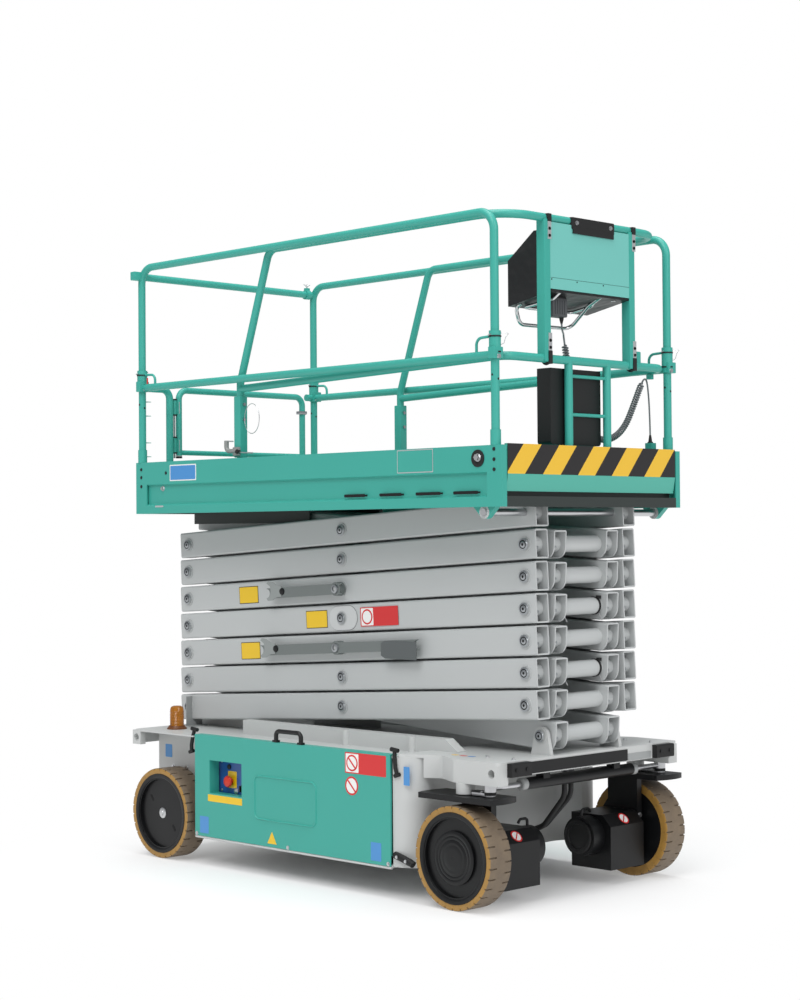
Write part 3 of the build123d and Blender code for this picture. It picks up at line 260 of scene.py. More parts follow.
def add_tube(bm, route, radius, sides=12):
    """A round tube along a route, closed at both ends."""
    route = [Vector(p) for p in route]
    along = [(b - a).normalized() for a, b in zip(route, route[1:])]
    across = along[0].orthogonal().normalized()
    rings = []
    for i, point in enumerate(route):
        ahead = along[min(i, len(along) - 1)]
        mitre = (along[max(i - 1, 0)] + ahead).normalized()
        across = (across - mitre * across.dot(mitre)).normalized()
        side = mitre.cross(across)
        rings.append([bm.verts.new(point + radius * (across * math.cos(a) + side * math.sin(a)))
                      for a in (2 * math.pi * k / sides for k in range(sides))])
    for ring, after in zip(rings, rings[1:]):
        for k in range(sides):
            bm.faces.new((ring[k], ring[(k + 1) % sides], after[(k + 1) % sides], after[k]))
    bm.faces.new(list(reversed(rings[0])))
    bm.faces.new(rings[-1])


def add_turned(bm, profile, origin, axis, steps=40):
    """A turned shape: a profile of (distance along the axis, radius), closed where a radius is nought."""
    origin, axis = Vector(origin), Vector(axis).normalized()
    across = axis.orthogonal().normalized()
    side = axis.cross(across)
    rings = []
    for along, radius in profile:
        count = steps if radius > 1e-6 else 1
        angles = (2 * math.pi * k / steps for k in range(count))
        middle = origin + axis * along
        rings.append([bm.verts.new(middle + radius * (across * math.cos(a) + side * math.sin(a)))
                      for a in angles])
    for ring, after in zip(rings, rings[1:]):
        for k in range(steps):
            corners = [ring[k % len(ring)], ring[(k + 1) % len(ring)], after[(k + 1) % len(after)],
                       after[k % len(after)]]
            corners = list(dict.fromkeys(corners))
            if len(corners) > 2:
                bm.faces.new(corners)


# Bolt heads are one tree of nodes: a head on a washer at each point, turned to face that point's direction.
bolt_heads = bpy.data.node_groups.new("bolt_heads", "GeometryNodeTree")
bolt_sockets = {}
for label, kind in (("Points", "Geometry"), ("Head Width", "Float"), ("Head Height", "Float"),
                    ("Washer", "Float"), ("Sides", "Int"), ("Finish", "Material")):
    socket = bolt_heads.interface.new_socket(label, in_out="INPUT", socket_type="NodeSocket" + kind)
    bolt_sockets[label] = socket.identifier
bolt_heads.interface.new_socket("Bolts", in_out="OUTPUT", socket_type="NodeSocketGeometry")
given = add_node(bolt_heads, "NodeGroupInput", {})
half = reckon(bolt_heads, "MULTIPLY", given["Head Width"], 0.5)
head = add_node(bolt_heads, "GeometryNodeMeshCylinder",
                {"Vertices": given["Sides"], "Radius": half, "Depth": given["Head Height"]})[0]
half = reckon(bolt_heads, "MULTIPLY", given["Head Height"], 0.5)
rise = add_node(bolt_heads, "ShaderNodeCombineXYZ", {"Z": half})[0]
head = add_node(bolt_heads, "GeometryNodeTransform", {"Geometry": head, "Translation": rise})[0]
half = reckon(bolt_heads, "MULTIPLY", given["Washer"], 0.5)
washer = add_node(bolt_heads, "GeometryNodeMeshCylinder", {"Vertices": 20, "Depth": 0.003, "Radius": half})[0]
joined = bolt_heads.nodes.new("GeometryNodeJoinGeometry")
for part in (head, washer):
    bolt_heads.links.new(part, joined.inputs[0])
facing = add_node(bolt_heads, "GeometryNodeInputNamedAttribute",
                  {"data_type": "FLOAT_VECTOR", "Name": "facing"})["Attribute"]
turned = add_node(bolt_heads, "FunctionNodeAlignRotationToVector", {"axis": "Z", "Vector": facing})[0]
placed = add_node(bolt_heads, "GeometryNodeInstanceOnPoints",
                  {"Points": given["Points"], "Instance": joined.outputs[0], "Rotation": turned})[0]
solid = add_node(bolt_heads, "GeometryNodeRealizeInstances", {"Geometry": placed})[0]
coated = add_node(bolt_heads, "GeometryNodeSetMaterial", {"Geometry": solid, "Material": given["Finish"]})[0]
add_node(bolt_heads, "NodeGroupOutput", {"Bolts": coated})


def bolts(name, body, material, places, width, height=None, washer=None, sides=6):
    """Bolt heads at (point, direction) places, as one plain mesh that rides on a body."""
    points = bpy.data.meshes.new(name + "_points")
    points.from_pydata([point for point, _ in places], [], [])
    facing = points.attributes.new("facing", "FLOAT_VECTOR", "POINT")
    for item, (_, direction) in zip(facing.data, places):
        item.vector = direction
    maker = new_object(name + "_maker", points)
    modifier = maker.modifiers.new("bolt_heads", "NODES")
    modifier.node_group = bolt_heads
    for label, value in (("Head Width", width), ("Head Height", height or width * 0.6), ("Sides", sides),
                         ("Washer", washer or width * 1.5), ("Finish", material)):
        modifier[bolt_sockets[label]] = value
    bpy.context.view_layer.update()
    mesh = bpy.data.meshes.new_from_object(maker.evaluated_get(bpy.context.evaluated_depsgraph_get()))
    mesh.name = name
    bpy.data.objects.remove(maker)
    mesh.set_sharp_from_angle(angle=math.radians(30))
    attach(new_object(name, mesh), body)


# ---------------------------------------------------------------- chassis fittings
# Bolted trim on the body: blank lashing signs, screws along the deck's edge, and the sheet across the front.
# Vinyl signs lie flat on the enamel, 0.6 mm proud.
SIGN = 0.0006
SIDES = ((-1, "near"), (1, "far"))
# across and up, seen from the near side, the front and above
NEAR, FRONT, TOP = ((1, 0, 0), (0, 0, 1)), ((0, 1, 0), (0, 0, 1)), ((1, 0, 0), (0, 1, 0))
front_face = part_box("wheel_housing")[1].x
fender_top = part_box("rear_fender")[1].z
deck_top = 0.585


def sign(name, body, material, outline, centre, across, up):
    """A blank vinyl sign stuck on a face."""
    return piece(name, body, material, (add_plate, outline, centre, across, up, SIGN), smooth=False)


def band(low, high, inner, outer):
    """Profile of a ring between two distances along its axis and two radii."""
    return (low, inner), (low, outer), (high, outer), (high, inner)


sign("lashing_sign_front", "chassis", blue_vinyl, rounded(0.034, 0.075, 0.003), (0.655, -0.5862, 0.5), *NEAR)
sign("lashing_sign_rear", "chassis", blue_vinyl, rounded(0.05, 0.06, 0.003), (-1.055, -0.4552, 0.468), *NEAR)

# three tilt marks in colour on the deck beside the stack
for i, colour in enumerate((yellow_vinyl, red_vinyl, blue_vinyl)):
    spot = (0.8 + 0.045 * i, -0.455, deck_top + 0.0002)
    sign(f"deck_sign_{i}", "chassis", colour, rounded(0.03, 0.02, 0.004), spot, *TOP)

edge_screws = [((x, y, deck_top), (0, 0, 1)) for y in (-0.43, 0.43) for x in (0.95, 1.09)]
edge_screws += [((x, side * 0.455, 0.4), (0, side, 0)) for side in (-1, 1) for x in (-1.02, -0.92)]
bolts("deck_screws", "chassis", bright_steel, edge_screws, 0.013)

# black sheet across the front, between the buffers, with the bare grey end of the housing beyond it
mid_grey = enamel("stove_enamel_mid_grey", "9DA0A0")
piece("front_sheet", "chassis", black_enamel,
      (add_plate, rounded(0.61, 0.046, 0.002), (front_face, -0.079, 0.5525), *FRONT, 0.003), smooth=False)
piece("front_strip", "chassis", mid_grey,
      (add_plate, rounded(0.15, 0.03, 0.002), (front_face, 0.306, 0.5425), *FRONT, 0.0015), smooth=False)

# ---------------------------------------------------------------- steering gear and hoses
# A double-ended cylinder pushes both knuckles. Its barrel is black, the rod ends and their clevises are
# zinc-plated, and two stiff hoses, clipped along their length, come down to the drive motors' manifold.
dress(black_enamel, "knuckle_near", "knuckle_far", "drive_motor_near", "drive_motor_far", "steer_cylinder")
dress(bright_steel, "steer_rod")
axle_x, kingpin_y, steer_z = 0.927, 0.53, 0.48
steer_x = axle_x + 0.132
lever_low, lever_top = 0.4495, 0.4625
for side, tag in SIDES:
    y = side * kingpin_y
    piece(f"lever_eye_{tag}", f"knuckle_{tag}", bright_steel,
          (add_turned, band(-0.012, 0.0004, 0, 0.021), (steer_x, y, 0.461), (0, 0, 1), 28),
          (add_block, (axle_x + 0.05, y - 0.02, lever_low), (steer_x - 0.01, y + 0.02, lever_top), 0.002))
    bolts(f"kingpin_nut_{tag}", f"knuckle_{tag}", bright_steel,
          [((axle_x + 0.1, y + dy, lever_top), (0, 0, 1)) for dy in (-0.012, 0.012)], 0.012, 0.006)
gland = ((0, 0.0245), (0.024, 0.0245), (0.028, 0.02), (0.028, 0.012), (0, 0.012))
piece("steer_glands", "chassis", mid_grey,
      *((add_turned, gland, (steer_x, side * 0.331, steer_z), (0, side, 0), 28) for side in (-1, 1)))
hoses = ((-0.045, 0.02), (-0.005, 0.0))  # y at the top, and how far forward the bend reaches
piece("motor_hoses", "chassis", black_rubber,
      *((add_tube, bend([(1.02, y, 0.52), (1.02, y, 0.4), (0.9 + reach, y - 0.02, 0.27),
                         (0.72, y - 0.03, 0.2), (0.62, y - 0.03, 0.2)], 0.07), 0.011, 10)
        for y, reach in hoses))
piece("hose_unions", "chassis", bright_steel,
      *((add_rod, (1.02, y, 0.52), (1.02, y, 0.475), 0.014, 6) for y, _ in hoses),
      *((add_rod, (0.7, y - 0.03, 0.2), (0.66, y - 0.03, 0.2), 0.014, 6) for y, _ in hoses))

# ---------------------------------------------------------------- drive motors
# Each motor's guard is a folded black cover on the knuckle's leg, held by plated screws, with a blank round
# sign on its sloped face.
slope, outward = Vector((-1, 0, 1)).normalized(), Vector((1, 0, 1)).normalized()
diagonal = (Vector((0, 1, 0)) + slope).normalized()
for side, tag in SIDES:
    body = f"knuckle_{tag}"
    seat = Vector((axle_x + 0.09, side * 0.335, 0.269))
    for name, material, radius, lift in (("rim", red_vinyl, 0.027, 0.0002),
                                         ("face", white_vinyl, 0.021, 0.0005)):
        sign(f"motor_sign_{name}_{tag}", body, material, circle(radius), seat + outward * lift,
             (0, 1, 0), slope)
    sign(f"motor_sign_bar_{tag}", body, red_vinyl, rounded(0.044, 0.005, 0.001), seat + outward * 0.0012,
         diagonal, outward.cross(diagonal))
    bolts(f"guard_screws_{tag}", body, bright_steel,
          [((axle_x + 0.08, side * 0.455, z), (1, 0, 0)) for z in (0.14, 0.27)], 0.016, 0.008)
    cap = ((0, 0.07), (0.006, 0.07), (0.01, 0.064), (0.01, 0.052), (0.004, 0.05), (0.004, 0))
    hook = [(axle_x, side * y, z) for y, z in ((0.17, 0.284), (0.17, 0.315), (0.215, 0.315), (0.225, 0.3))]
    piece(f"motor_end_{tag}", body, black_plastic,
          (add_turned, cap, (axle_x, side * 0.152, 0.204), (0, -side, 0), 36),
          (add_tube, bend(hook, 0.014), 0.006, 8))

# ---------------------------------------------------------------- wheels
# A cast polyurethane tyre on a black steel hub. The tread is worn dull brown with short slits in from both
# edges, turn about, and the sidewalls keep the golden colour of new polyurethane.
TYRE_RADIUS, TYRE_WIDTH, RIM_RADIUS = 0.204, 0.123, 0.166
SLITS, SLIT_REACH, SLIT_DEPTH, SLIT_HALF = 30, 0.036, 0.006, 0.0022
tread, tree, shader, place = new_material("cast_polyurethane_worn")
dirt = noise(tree, place, 0.05, 4, 0.65)
set_up(tree, shader, {"Base Color": mix(tree, linear("62564A"), linear("86755F"), dirt), "Roughness": 0.62,
                      "Normal": bumps(tree, noise(tree, place, 0.008, 3), 0.25, 0.0008)})
golden, tree, shader, place = new_material("cast_polyurethane_golden")
soil = noise(tree, place, 0.07, 3)
set_up(tree, shader, {"Base Color": mix(tree, linear("8E6C34"), linear("B88C44"), soil), "Roughness": 0.42})

# rows across the tyre: (distance from the outer sidewall, radius), with the slit's floor where it reaches
half_rows = [(0.003, RIM_RADIUS), (0.0028, 0.181), (0.0, 0.197), (0.0021, 0.2019), (0.007, TYRE_RADIUS),
             (SLIT_REACH, TYRE_RADIUS), (SLIT_REACH + 0.003, TYRE_RADIUS)]
rows = half_rows + [(TYRE_WIDTH - across, radius) for across, radius in reversed(half_rows)]
half_slit = SLIT_HALF / TYRE_RADIUS
columns = []  # (angle, which edge's slit it cuts: -1 outer, 1 inner, 0 none)
for i in range(2 * SLITS):
    middle, cut = math.pi * i / SLITS, -1 if i % 2 else 1
    columns += [(middle - 1.5 * half_slit, 0), (middle - half_slit, cut), (middle + half_slit, cut),
                (middle + 1.5 * half_slit, 0), (middle + math.pi / SLITS / 2, 0)]
for name, x, side in (("front_near", axle_x, -1), ("front_far", axle_x, 1),
                      ("rear_near", -axle_x, -1), ("rear_far", -axle_x, 1)):
    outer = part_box("tyre_" + name)[side > 0].y
    bm = bmesh.new()
    grid = []
    for angle, cut in columns:
        line = []
        for k, (across, radius) in enumerate(rows):
            in_slit = cut == -1 and 2 <= k <= 5 or cut == 1 and len(rows) - 6 <= k <= len(rows) - 3
            r = radius - SLIT_DEPTH if in_slit else radius
            spot = (x + r * math.cos(angle), outer - side * across, TYRE_RADIUS + r * math.sin(angle))
            line.append(bm.verts.new(spot))
        grid.append(line)
    for line, after in zip(grid, grid[1:] + grid[:1]):
        for k in range(len(rows) - 1):
            face = bm.faces.new((line[k], line[k + 1], after[k + 1], after[k]))
            face.material_index = 1 if k < 3 or k > len(rows) - 5 else 0
        bm.faces.new((line[-1], line[0], after[0], after[-1])).material_index = 1
    tyre = finish("tread_" + name, "wheel_" + name, tread, bm)
    tyre.data.materials.append(golden)
    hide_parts("tyre_" + name)
dress(golden, *(n for n in nodes if n.startswith("tyre")))
dress(black_enamel, "hub_front_near", "hub_front_far", "hub_rear_near", "hub_rear_far")

# hub caps: raised with turned rings on the driven wheels, and a plated nut with two jacking slots at the rear
hub_face = 0.59
rim_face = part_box("tyre_front_far")[1].y
drive_cap = ((-0.004, 0.106), (0.01, 0.106), (0.0135, 0.1), (0.0135, 0.088), (0.012, 0.086), (0.0135, 0.084),
             (0.0135, 0.074), (0.012, 0.072), (0.0135, 0.07), (0.0145, 0.03), (0.0145, 0.008), (0.012, 0.006),
             (0.012, 0))
rim_lip = ((-0.004, 0.16), (-0.0014, 0.163), (-0.0004, 0.166), (-0.0004, 0.1785), (-0.003, 0.18))
nut = ((-0.002, 0), (-0.002, 0.024), (0.003, 0.024), (0.005, 0.02), (0.005, 0.011), (0.009, 0.009), (0.01, 0))
for side, tag in SIDES:
    out = (0, side, 0)
    piece(f"drive_cap_{tag}", f"wheel_front_{tag}", black_enamel,
          (add_turned, drive_cap, (axle_x, side * hub_face, TYRE_RADIUS), out, 64))
    for end, x in (("front", axle_x), ("rear", -axle_x)):
        piece(f"rim_lip_{end}_{tag}", f"wheel_{end}_{tag}", black_enamel,
              (add_turned, rim_lip, (x, side * rim_face, TYRE_RADIUS), out, 72))
    piece(f"axle_nut_{tag}", f"wheel_rear_{tag}", bright_steel,
          (add_turned, nut, (-axle_x, side * hub_face, TYRE_RADIUS), out, 32))
    piece(f"hub_slots_{tag}", f"wheel_rear_{tag}", moulded(f"shadowed_slot_{tag}", "060606", 0.8),
          *((add_plate, rounded(0.012, 0.034, 0.005),
             (-axle_x + reach * 0.08, side * hub_face, TYRE_RADIUS - reach * 0.062), (-side * 0.8, 0, 0.6),
             (0.6 * side, 0, 0.8), SIGN) for reach in (-1, 1)), smooth=False)

# ---------------------------------------------------------------- side covers
# Folded sheet covers over the batteries, enamelled sea green and hinged at the foot. Each has an embossed
# frame, a black handle and rubber latches; the near one has a recess for the ground controls.
green = enamel("stove_enamel_sea_green", "3CA99B")
dress(green, "side_cover_near", "side_cover_far")
handle = (-0.143, 0.017)
for side, tag in SIDES:
    body = f"cover_{tag}"
    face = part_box(f"side_cover_{tag}")[side > 0].y
    frame_line = [(x - 0.077, face, z + 0.336) for x, z in rounded(0.395, 0.185, 0.028, 6)]
    piece(f"embossed_frame_{tag}", body, green, (add_tube, frame_line + frame_line[:1], 0.0042, 8))
    # grip sleeve on the handle, and its feet
    y = side * 0.584
    grip = [(handle[0], y, 0.5785), (handle[0], y, 0.628), (handle[1], y, 0.628), (handle[1], y, 0.5785)]
    piece(f"cover_grip_{tag}", body, black_plastic, (add_tube, bend(grip, 0.02), 0.0098, 14),
          *((add_block, (x - 0.014, y - 0.011, 0.58), (x + 0.014, y + 0.011, 0.59), 0.003) for x in handle))
    # rubber pull latches at the top corners, hooked over the deck
    bm = bmesh.new()
    for x, lean in ((0.604, 0.0175), (-0.716, -0.0175)):
        foot, top = Vector((x, side * 0.59, 0.5)), Vector((x - lean, side * 0.586, 0.6))
        strap = [foot.lerp(top, along) + Vector((0, side * out, 0))
                 for along, out in ((0.3, 0.006), (0.7, 0.004))]
        add_tube(bm, [foot, *strap, top], 0.0085, 10)
        add_tube(bm, [foot + Vector((-0.014, 0, -0.004)), foot + Vector((0.014, 0, 0.004))], 0.0085, 10)
        add_tube(bm, [top + Vector((-0.02, 0, 0.002)), top + Vector((0.02, 0, -0.002))], 0.009, 10)
    finish(f"pull_latches_{tag}", "chassis", black_rubber, bm)
    bolts(f"cover_screws_{tag}", body, bright_steel,
          [((x, face, 0.139), (0, side, 0)) for x in (-0.672, -0.057, 0.556)], 0.012, 0.005)
# blank signs, on the near cover
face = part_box("side_cover_near")[0].y
for i, x in enumerate((-0.62, 0.485)):
    sign(f"lashing_sign_{i}", "cover_near", blue_vinyl, rounded(0.061, 0.075, 0.003), (x, face, 0.181), *NEAR)
sign("hazard_triangle", "cover_near", yellow_vinyl, [(-0.03, -0.024), (0.03, -0.024), (0.0, 0.028)],
     (-0.16, face, 0.168), *NEAR)
sign("notice_red", "cover_near", red_vinyl, rounded(0.243, 0.086, 0.004), (0.425, face, 0.53), *NEAR)
sign("notice_white", "cover_near", white_vinyl, rounded(0.076, 0.076, 0.003), (0.347, face - SIGN, 0.53),
     *NEAR)
slant, bars = Vector((1, 0, -1)).normalized(), []
for i, (x, y, z, ring, disc) in enumerate(((0.347, face - 2 * SIGN, 0.53, 0.034, 0.027),
                                           (0.343, face, 0.436, 0.039, 0.031))):
    sign(f"notice_ring_{i}", "cover_near", red_vinyl, circle(ring), (x, y, z), *NEAR)
    sign(f"notice_disc_{i}", "cover_near", white_vinyl, circle(disc), (x, y - SIGN, z), *NEAR)
    bars.append((add_plate, rounded(2 * disc + 0.004, 0.007, 0.001), (x, y - 2 * SIGN, z), slant,
                 Vector((0, -1, 0)).cross(slant), SIGN))
piece("notice_bars", "cover_near", red_vinyl, *bars, smooth=False)

# ---------------------------------------------------------------- ground controls
# The panel behind the near cover's opening: printed blue, with an emergency stop on a yellow plate, a black
# selector, two screws and a key lock, and a blank yellow notice under the opening.
dress(printed("silk_printed_panel_blue", "2458A0"), "ground_controls")
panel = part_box("ground_controls")[0].y
OUT = (0, -1, 0)
sign("stop_plate", "chassis", yellow_vinyl, rounded(0.06, 0.075, 0.004), (-0.5, panel, 0.385), *NEAR)
mushroom = ((0, 0.013), (0.012, 0.013), (0.014, 0.024), (0.02, 0.026), (0.026, 0.022), (0.029, 0.012),
            (0.03, 0))
piece("stop_button", "chassis", moulded("moulded_nylon_red", "D8331F", 0.38),
      (add_turned, mushroom, (-0.508, panel - SIGN, 0.378), OUT, 32))
piece("selector", "chassis", black_plastic,
      (add_turned, ((0, 0.02), (0.008, 0.02), (0.01, 0.015), (0.02, 0.013), (0.022, 0.01), (0.022, 0)),
       (-0.418, panel, 0.352), OUT, 28),
      (add_block, (-0.422, panel - 0.03, 0.338), (-0.414, panel - 0.018, 0.366), 0.002),
      (add_turned, ((0, 0.011), (0.005, 0.011), (0.006, 0.008), (0.006, 0)), (-0.52, panel, 0.44), OUT, 20))
piece("key_lock", "chassis", bright_steel,
      (add_turned, ((0, 0.014), (0.006, 0.014), (0.008, 0.011), (0.008, 0)), (-0.47, panel, 0.338), OUT, 24))
bolts("panel_screws", "chassis", bright_steel,
      [((x, panel, z), OUT) for x in (-0.572, -0.372) for z in (0.334, 0.462)], 0.009, 0.003, sides=12)
sign("controls_notice", "cover_near", yellow_vinyl, rounded(0.235, 0.03, 0.002), (-0.476, face, 0.304), *NEAR)

# a black tie-down lever by each cover's front foot
lever = ((0.588, 0.586, 0.178), (0.625, 0.592, 0.172), (0.68, 0.59, 0.156), (0.692, 0.588, 0.15))
for side, tag in SIDES:
    piece(f"foot_lever_{tag}", "chassis", black_rubber,
          (add_tube, [(x, side * y, z) for x, y, z in lever], 0.015, 12))
    bolts(f"foot_lever_bolts_{tag}", "chassis", bright_steel,
          [((x, side * 0.6045, z), (0, side, 0)) for x, z in ((0.612, 0.174), (0.662, 0.162))],
          0.012, 0.003, 0.014)

# ---------------------------------------------------------------- bumpers, batteries and beacon
# Rubber blocks at the front corners, black battery cases under the covers, and an amber beacon on the rear
# deck: a ribbed clear lens of polycarbonate on a dark base.
dress(black_rubber, "front_buffers")
dress(black_plastic, "battery_blocks")
buffer_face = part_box("front_buffers")[1].x - 0.001
buffer_bolts = [((buffer_face, side * y, 0.553), (1, 0, 0)) for side in (-1, 1) for y in (0.42, 0.48)]
bolts("buffer_bolts", "chassis", black_enamel, buffer_bolts, 0.016, 0.004, 0.02)
amber, tree, shader, place = new_material("moulded_polycarbonate_amber")
set_up(tree, shader, {"Base Color": linear("B9761C"), "Roughness": 0.18, "Transmission Weight": 0.35,
                      "Emission Color": linear("C86A10"), "Emission Strength": 0.03})
beacon_low, beacon_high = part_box("beacon")
foot = ((beacon_low.x + beacon_high.x) / 2, (beacon_low.y + beacon_high.y) / 2, beacon_low.z)
height, wide = beacon_high.z - beacon_low.z, (beacon_high.x - beacon_low.x) / 2
lens = wide * 0.7
profile = [(0.014, 0.0), (0.014, lens)]
for k in range(10):
    z = 0.018 + (height - 0.045) * k / 9
    profile += [(z, lens + 0.0008), (z + 0.003, lens - 0.0008)]
profile += [(height - 0.016, lens - 0.001), (height - 0.006, lens * 0.86), (height - 0.001, lens * 0.55),
            (height, 0.0)]
made = piece("beacon_lens", "chassis", amber, (add_turned, profile, foot, (0, 0, 1), 48))
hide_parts("beacon")
base = ((0, 0), (0, wide), (0.005, wide), (0.009, wide * 0.88), (0.016, wide * 0.82), (0.0165, 0))
piece("beacon_base", "chassis", moulded("moulded_abs_dark_amber", "6B3B12", 0.4),
      (add_turned, base, foot, (0, 0, 1), 40))
# small grey bracket behind the beacon
piece("rear_bracket", "chassis", mid_grey,
      (add_block, (-1.065, -0.345, fender_top), (-1.061, -0.25, fender_top + 0.14), 0.001),
      (add_block, (-1.065, -0.345, fender_top), (-1.02, -0.25, fender_top + 0.004), 0.001), smooth=False)

# ---------------------------------------------------------------- scissor stack
# Arms of rectangular tube, welded to their cross tubes and enamelled grey. Each pin shows a rim, a domed cap
# and a hexagon socket, and a small plated screw holds it inside the arm's open end.
arm_grey = enamel("stove_enamel_arm_grey", "C0C3C3", tone=0.95)
dress(arm_grey, *(n for n in nodes if n.startswith(("inner_frame", "outer_arms", "lift_barrel"))))
dress(bright_steel, "lift_ram_lower", "lift_ram_upper")
dress(black_plastic, "slide_blocks_lower", "slide_blocks_upper")

# safety props: a flat bar with a fork at its rear end; the lower one has a wide plate at its front end
dress(enamel("zinc_sprayed_grey", "727877", gloss=0.42), "prop_upper", "prop_lower")
fork_grey = enamel("zinc_sprayed_grey_ends", "959A99", gloss=0.42)
half_fork = [(0.06, 0.024), (0.028, 0.027), (0.002, 0.041), (-0.03, 0.044), (-0.04, 0.034), (-0.016, 0.021),
             (-0.012, 0.004)]
fork = half_fork + [(u, -v) for u, v in reversed(half_fork)]
fork_pin = ((-0.001, 0.016), (0.005, 0.014), (0.006, 0.006), (0.006, 0))
for prop, drop in (("prop_upper", 0.006), ("prop_lower", 0.018)):
    low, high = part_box(prop)
    fork_z = (low.z + high.z) / 2 - drop
    piece(f"{prop}_fork_pin", prop, black_enamel,
          (add_turned, fork_pin, (low.x + 0.106, low.y, fork_z), OUT, 20))
    piece(f"{prop}_fork", prop, fork_grey,
          (add_plate, fork, (low.x + 0.042, low.y, fork_z), *NEAR, 0.003), smooth=False)
end_plate = [(-0.215, -0.026), (-0.19, -0.038), (-0.004, -0.038), (-0.004, 0.038), (-0.19, 0.038),
             (-0.215, 0.026)]
piece("prop_lower_end", "prop_lower", enamel("zinc_sprayed_dark", "5A5F60", gloss=0.45),
      (add_plate, end_plate, (high.x, low.y, (low.z + high.z) / 2 + 0.004), *NEAR, 0.003), smooth=False)

LEVELS, ARM_SPAN, NODE_RISE = 7, 2.138, 0.1275
SLOPE = NODE_RISE / ARM_SPAN
front_x, base_z, arm_face, lug_face = 1.051, 0.66, 0.31, 0.224
rear_x = front_x - math.sqrt(ARM_SPAN**2 - NODE_RISE**2)
middle_x = (front_x + rear_x) / 2


def node_height(level):
    """Height of a level's lower pins."""
    return base_z + (level - 1) * NODE_RISE


def arm_middle(level, x):
    """Height of the middle of an outer arm."""
    return node_height(level) + NODE_RISE / 2 + (x - middle_x) * SLOPE


collar_steel = plated("ground_steel_collar", "A9ADB0", 0.34)
socket_dark = moulded("shadowed_socket", "0B0B0C", 0.7)
pin_rim = ((0.0055, 0.025), (0.0068, 0.0248), (0.0072, 0.0215), (0.0092, 0.0205), (0.0096, 0.0178),
           (0.0062, 0.0172))
pin_cap = ((0.0062, 0.0136), (0.0094, 0.0132), (0.0104, 0.011), (0.0108, 0.0058), (0.007, 0.0056))
pin_groove = ((0.0064, 0.0174), (0.007, 0.0172), (0.007, 0.0134), (0.0064, 0.0132))


def pin_ends(collars, sockets, body, places, face):
    """Rims and caps with their dark sockets, at both ends of the pins at some (x, z) places."""
    bright, dark = bmesh.new(), bmesh.new()
    for side in (-1, 1):
        for x, z in places:
            seat, out = (x, side * (face + 0.003), z), (0, side, 0)
            add_turned(bright, pin_rim, seat, out, 28)
            add_turned(bright, pin_cap, seat, out, 28)
            add_turned(dark, pin_groove, seat, out, 28)
            add_rod(dark, (x, side * (face + 0.008), z), (x, side * (face + 0.0137), z), 0.0062, 6)
    finish(collars, body, collar_steel, bright)
    finish(sockets, body, socket_dark, dark, smooth=False)


for level in range(1, LEVELS + 1):
    low_z, high_z = node_height(level), node_height(level + 1)
    pins = [(middle_x, (low_z + high_z) / 2), (rear_x, low_z), (front_x, high_z)]
    if level == LEVELS:
        pins.pop()
    pin_ends(f"pin_collars_{level}", f"pin_sockets_{level}", f"outer_{level}", pins, arm_face)
pin_ends("lug_collars", "lug_sockets", "chassis", [(front_x, base_z)], lug_face)

# small screws on the pins inside the arms' open ends
for level in range(1, LEVELS + 1):
    for body, y, z in ((f"inner_{level}", 0.1625, node_height(level)),
                       (f"outer_{level}", 0.272, node_height(level + 1))):
        bolts(f"end_screws_{body}", body, collar_steel,
              [((front_x + 0.03102, side * y, z - 0.01122), (0.94, 0, -0.34)) for side in (-1, 1)],
              0.01, 0.005, 0.012)

# dark clamps round two of the cross tubes, their tails hanging
clamps = (-0.108, 0.112)
for level in (3, 5):
    x, z = front_x, node_height(level)
    piece(f"hose_clamps_{level}", f"inner_{level}", black_rubber,
          *((add_turned, band(-0.005, 0.005, 0.0342, 0.0372), (x, y, z), (0, 1, 0), 32) for y in clamps),
          *((add_block, (x + 0.018, y - 0.008, z + 0.028), (x + 0.034, y + 0.008, z + 0.042), 0.002)
            for y in clamps))
    piece(f"clamp_tails_{level}", f"inner_{level}", bright_steel,
          *((add_tube, [(x + 0.028, y, z - 0.03), (x + 0.033, y + 0.004, z - 0.046),
                        (x + 0.036, y + 0.01, z - 0.06)], 0.0018, 6) for y in clamps))

# doubler plate at the middle pin of level four, with a thin dark rim of painted shadow round it, and the
# blank notices on the near arms
rise = Vector((math.cos(math.asin(SLOPE)), 0, SLOPE))
up = Vector((-rise.z, 0, rise.x))
half = [(0.052 * math.sin(math.pi * k / 16), 0.052 * math.cos(math.pi * k / 16)) for k in range(17)]
doubler = [(0.036 + u, -v) for u, v in half] + [(-0.036 - u, v) for u, v in half]
# the dark rim round the doubler is painted shadow: a thin plate a little larger than the doubler, lying under
# it
shadow_rim = [(u * 1.018, v * 1.036) for u, v in doubler]
for name, outline, material, thick in (
        ("doublers", doubler, enamel("stove_enamel_doubler", "CACCCC", tone=0.98), 0.0028),
        ("doubler_shadow_rims", shadow_rim, enamel("painted_shadow_rim_grey", "77797A", gloss=0.5), 0.0006)):
    piece(name, "outer_4", material,
          *((add_plate, outline, (-0.007, side * arm_face, arm_middle(4, -0.007)), rise * -side, up, thick)
            for side in (-1, 1)), smooth=False)


def arm_sign(name, level, material, outline, x, lift=0.0):
    """A blank sign on a near outer arm, in line with it."""
    sign(name, f"outer_{level}", material, outline, (x, -arm_face - lift, arm_middle(level, x)), rise, up)


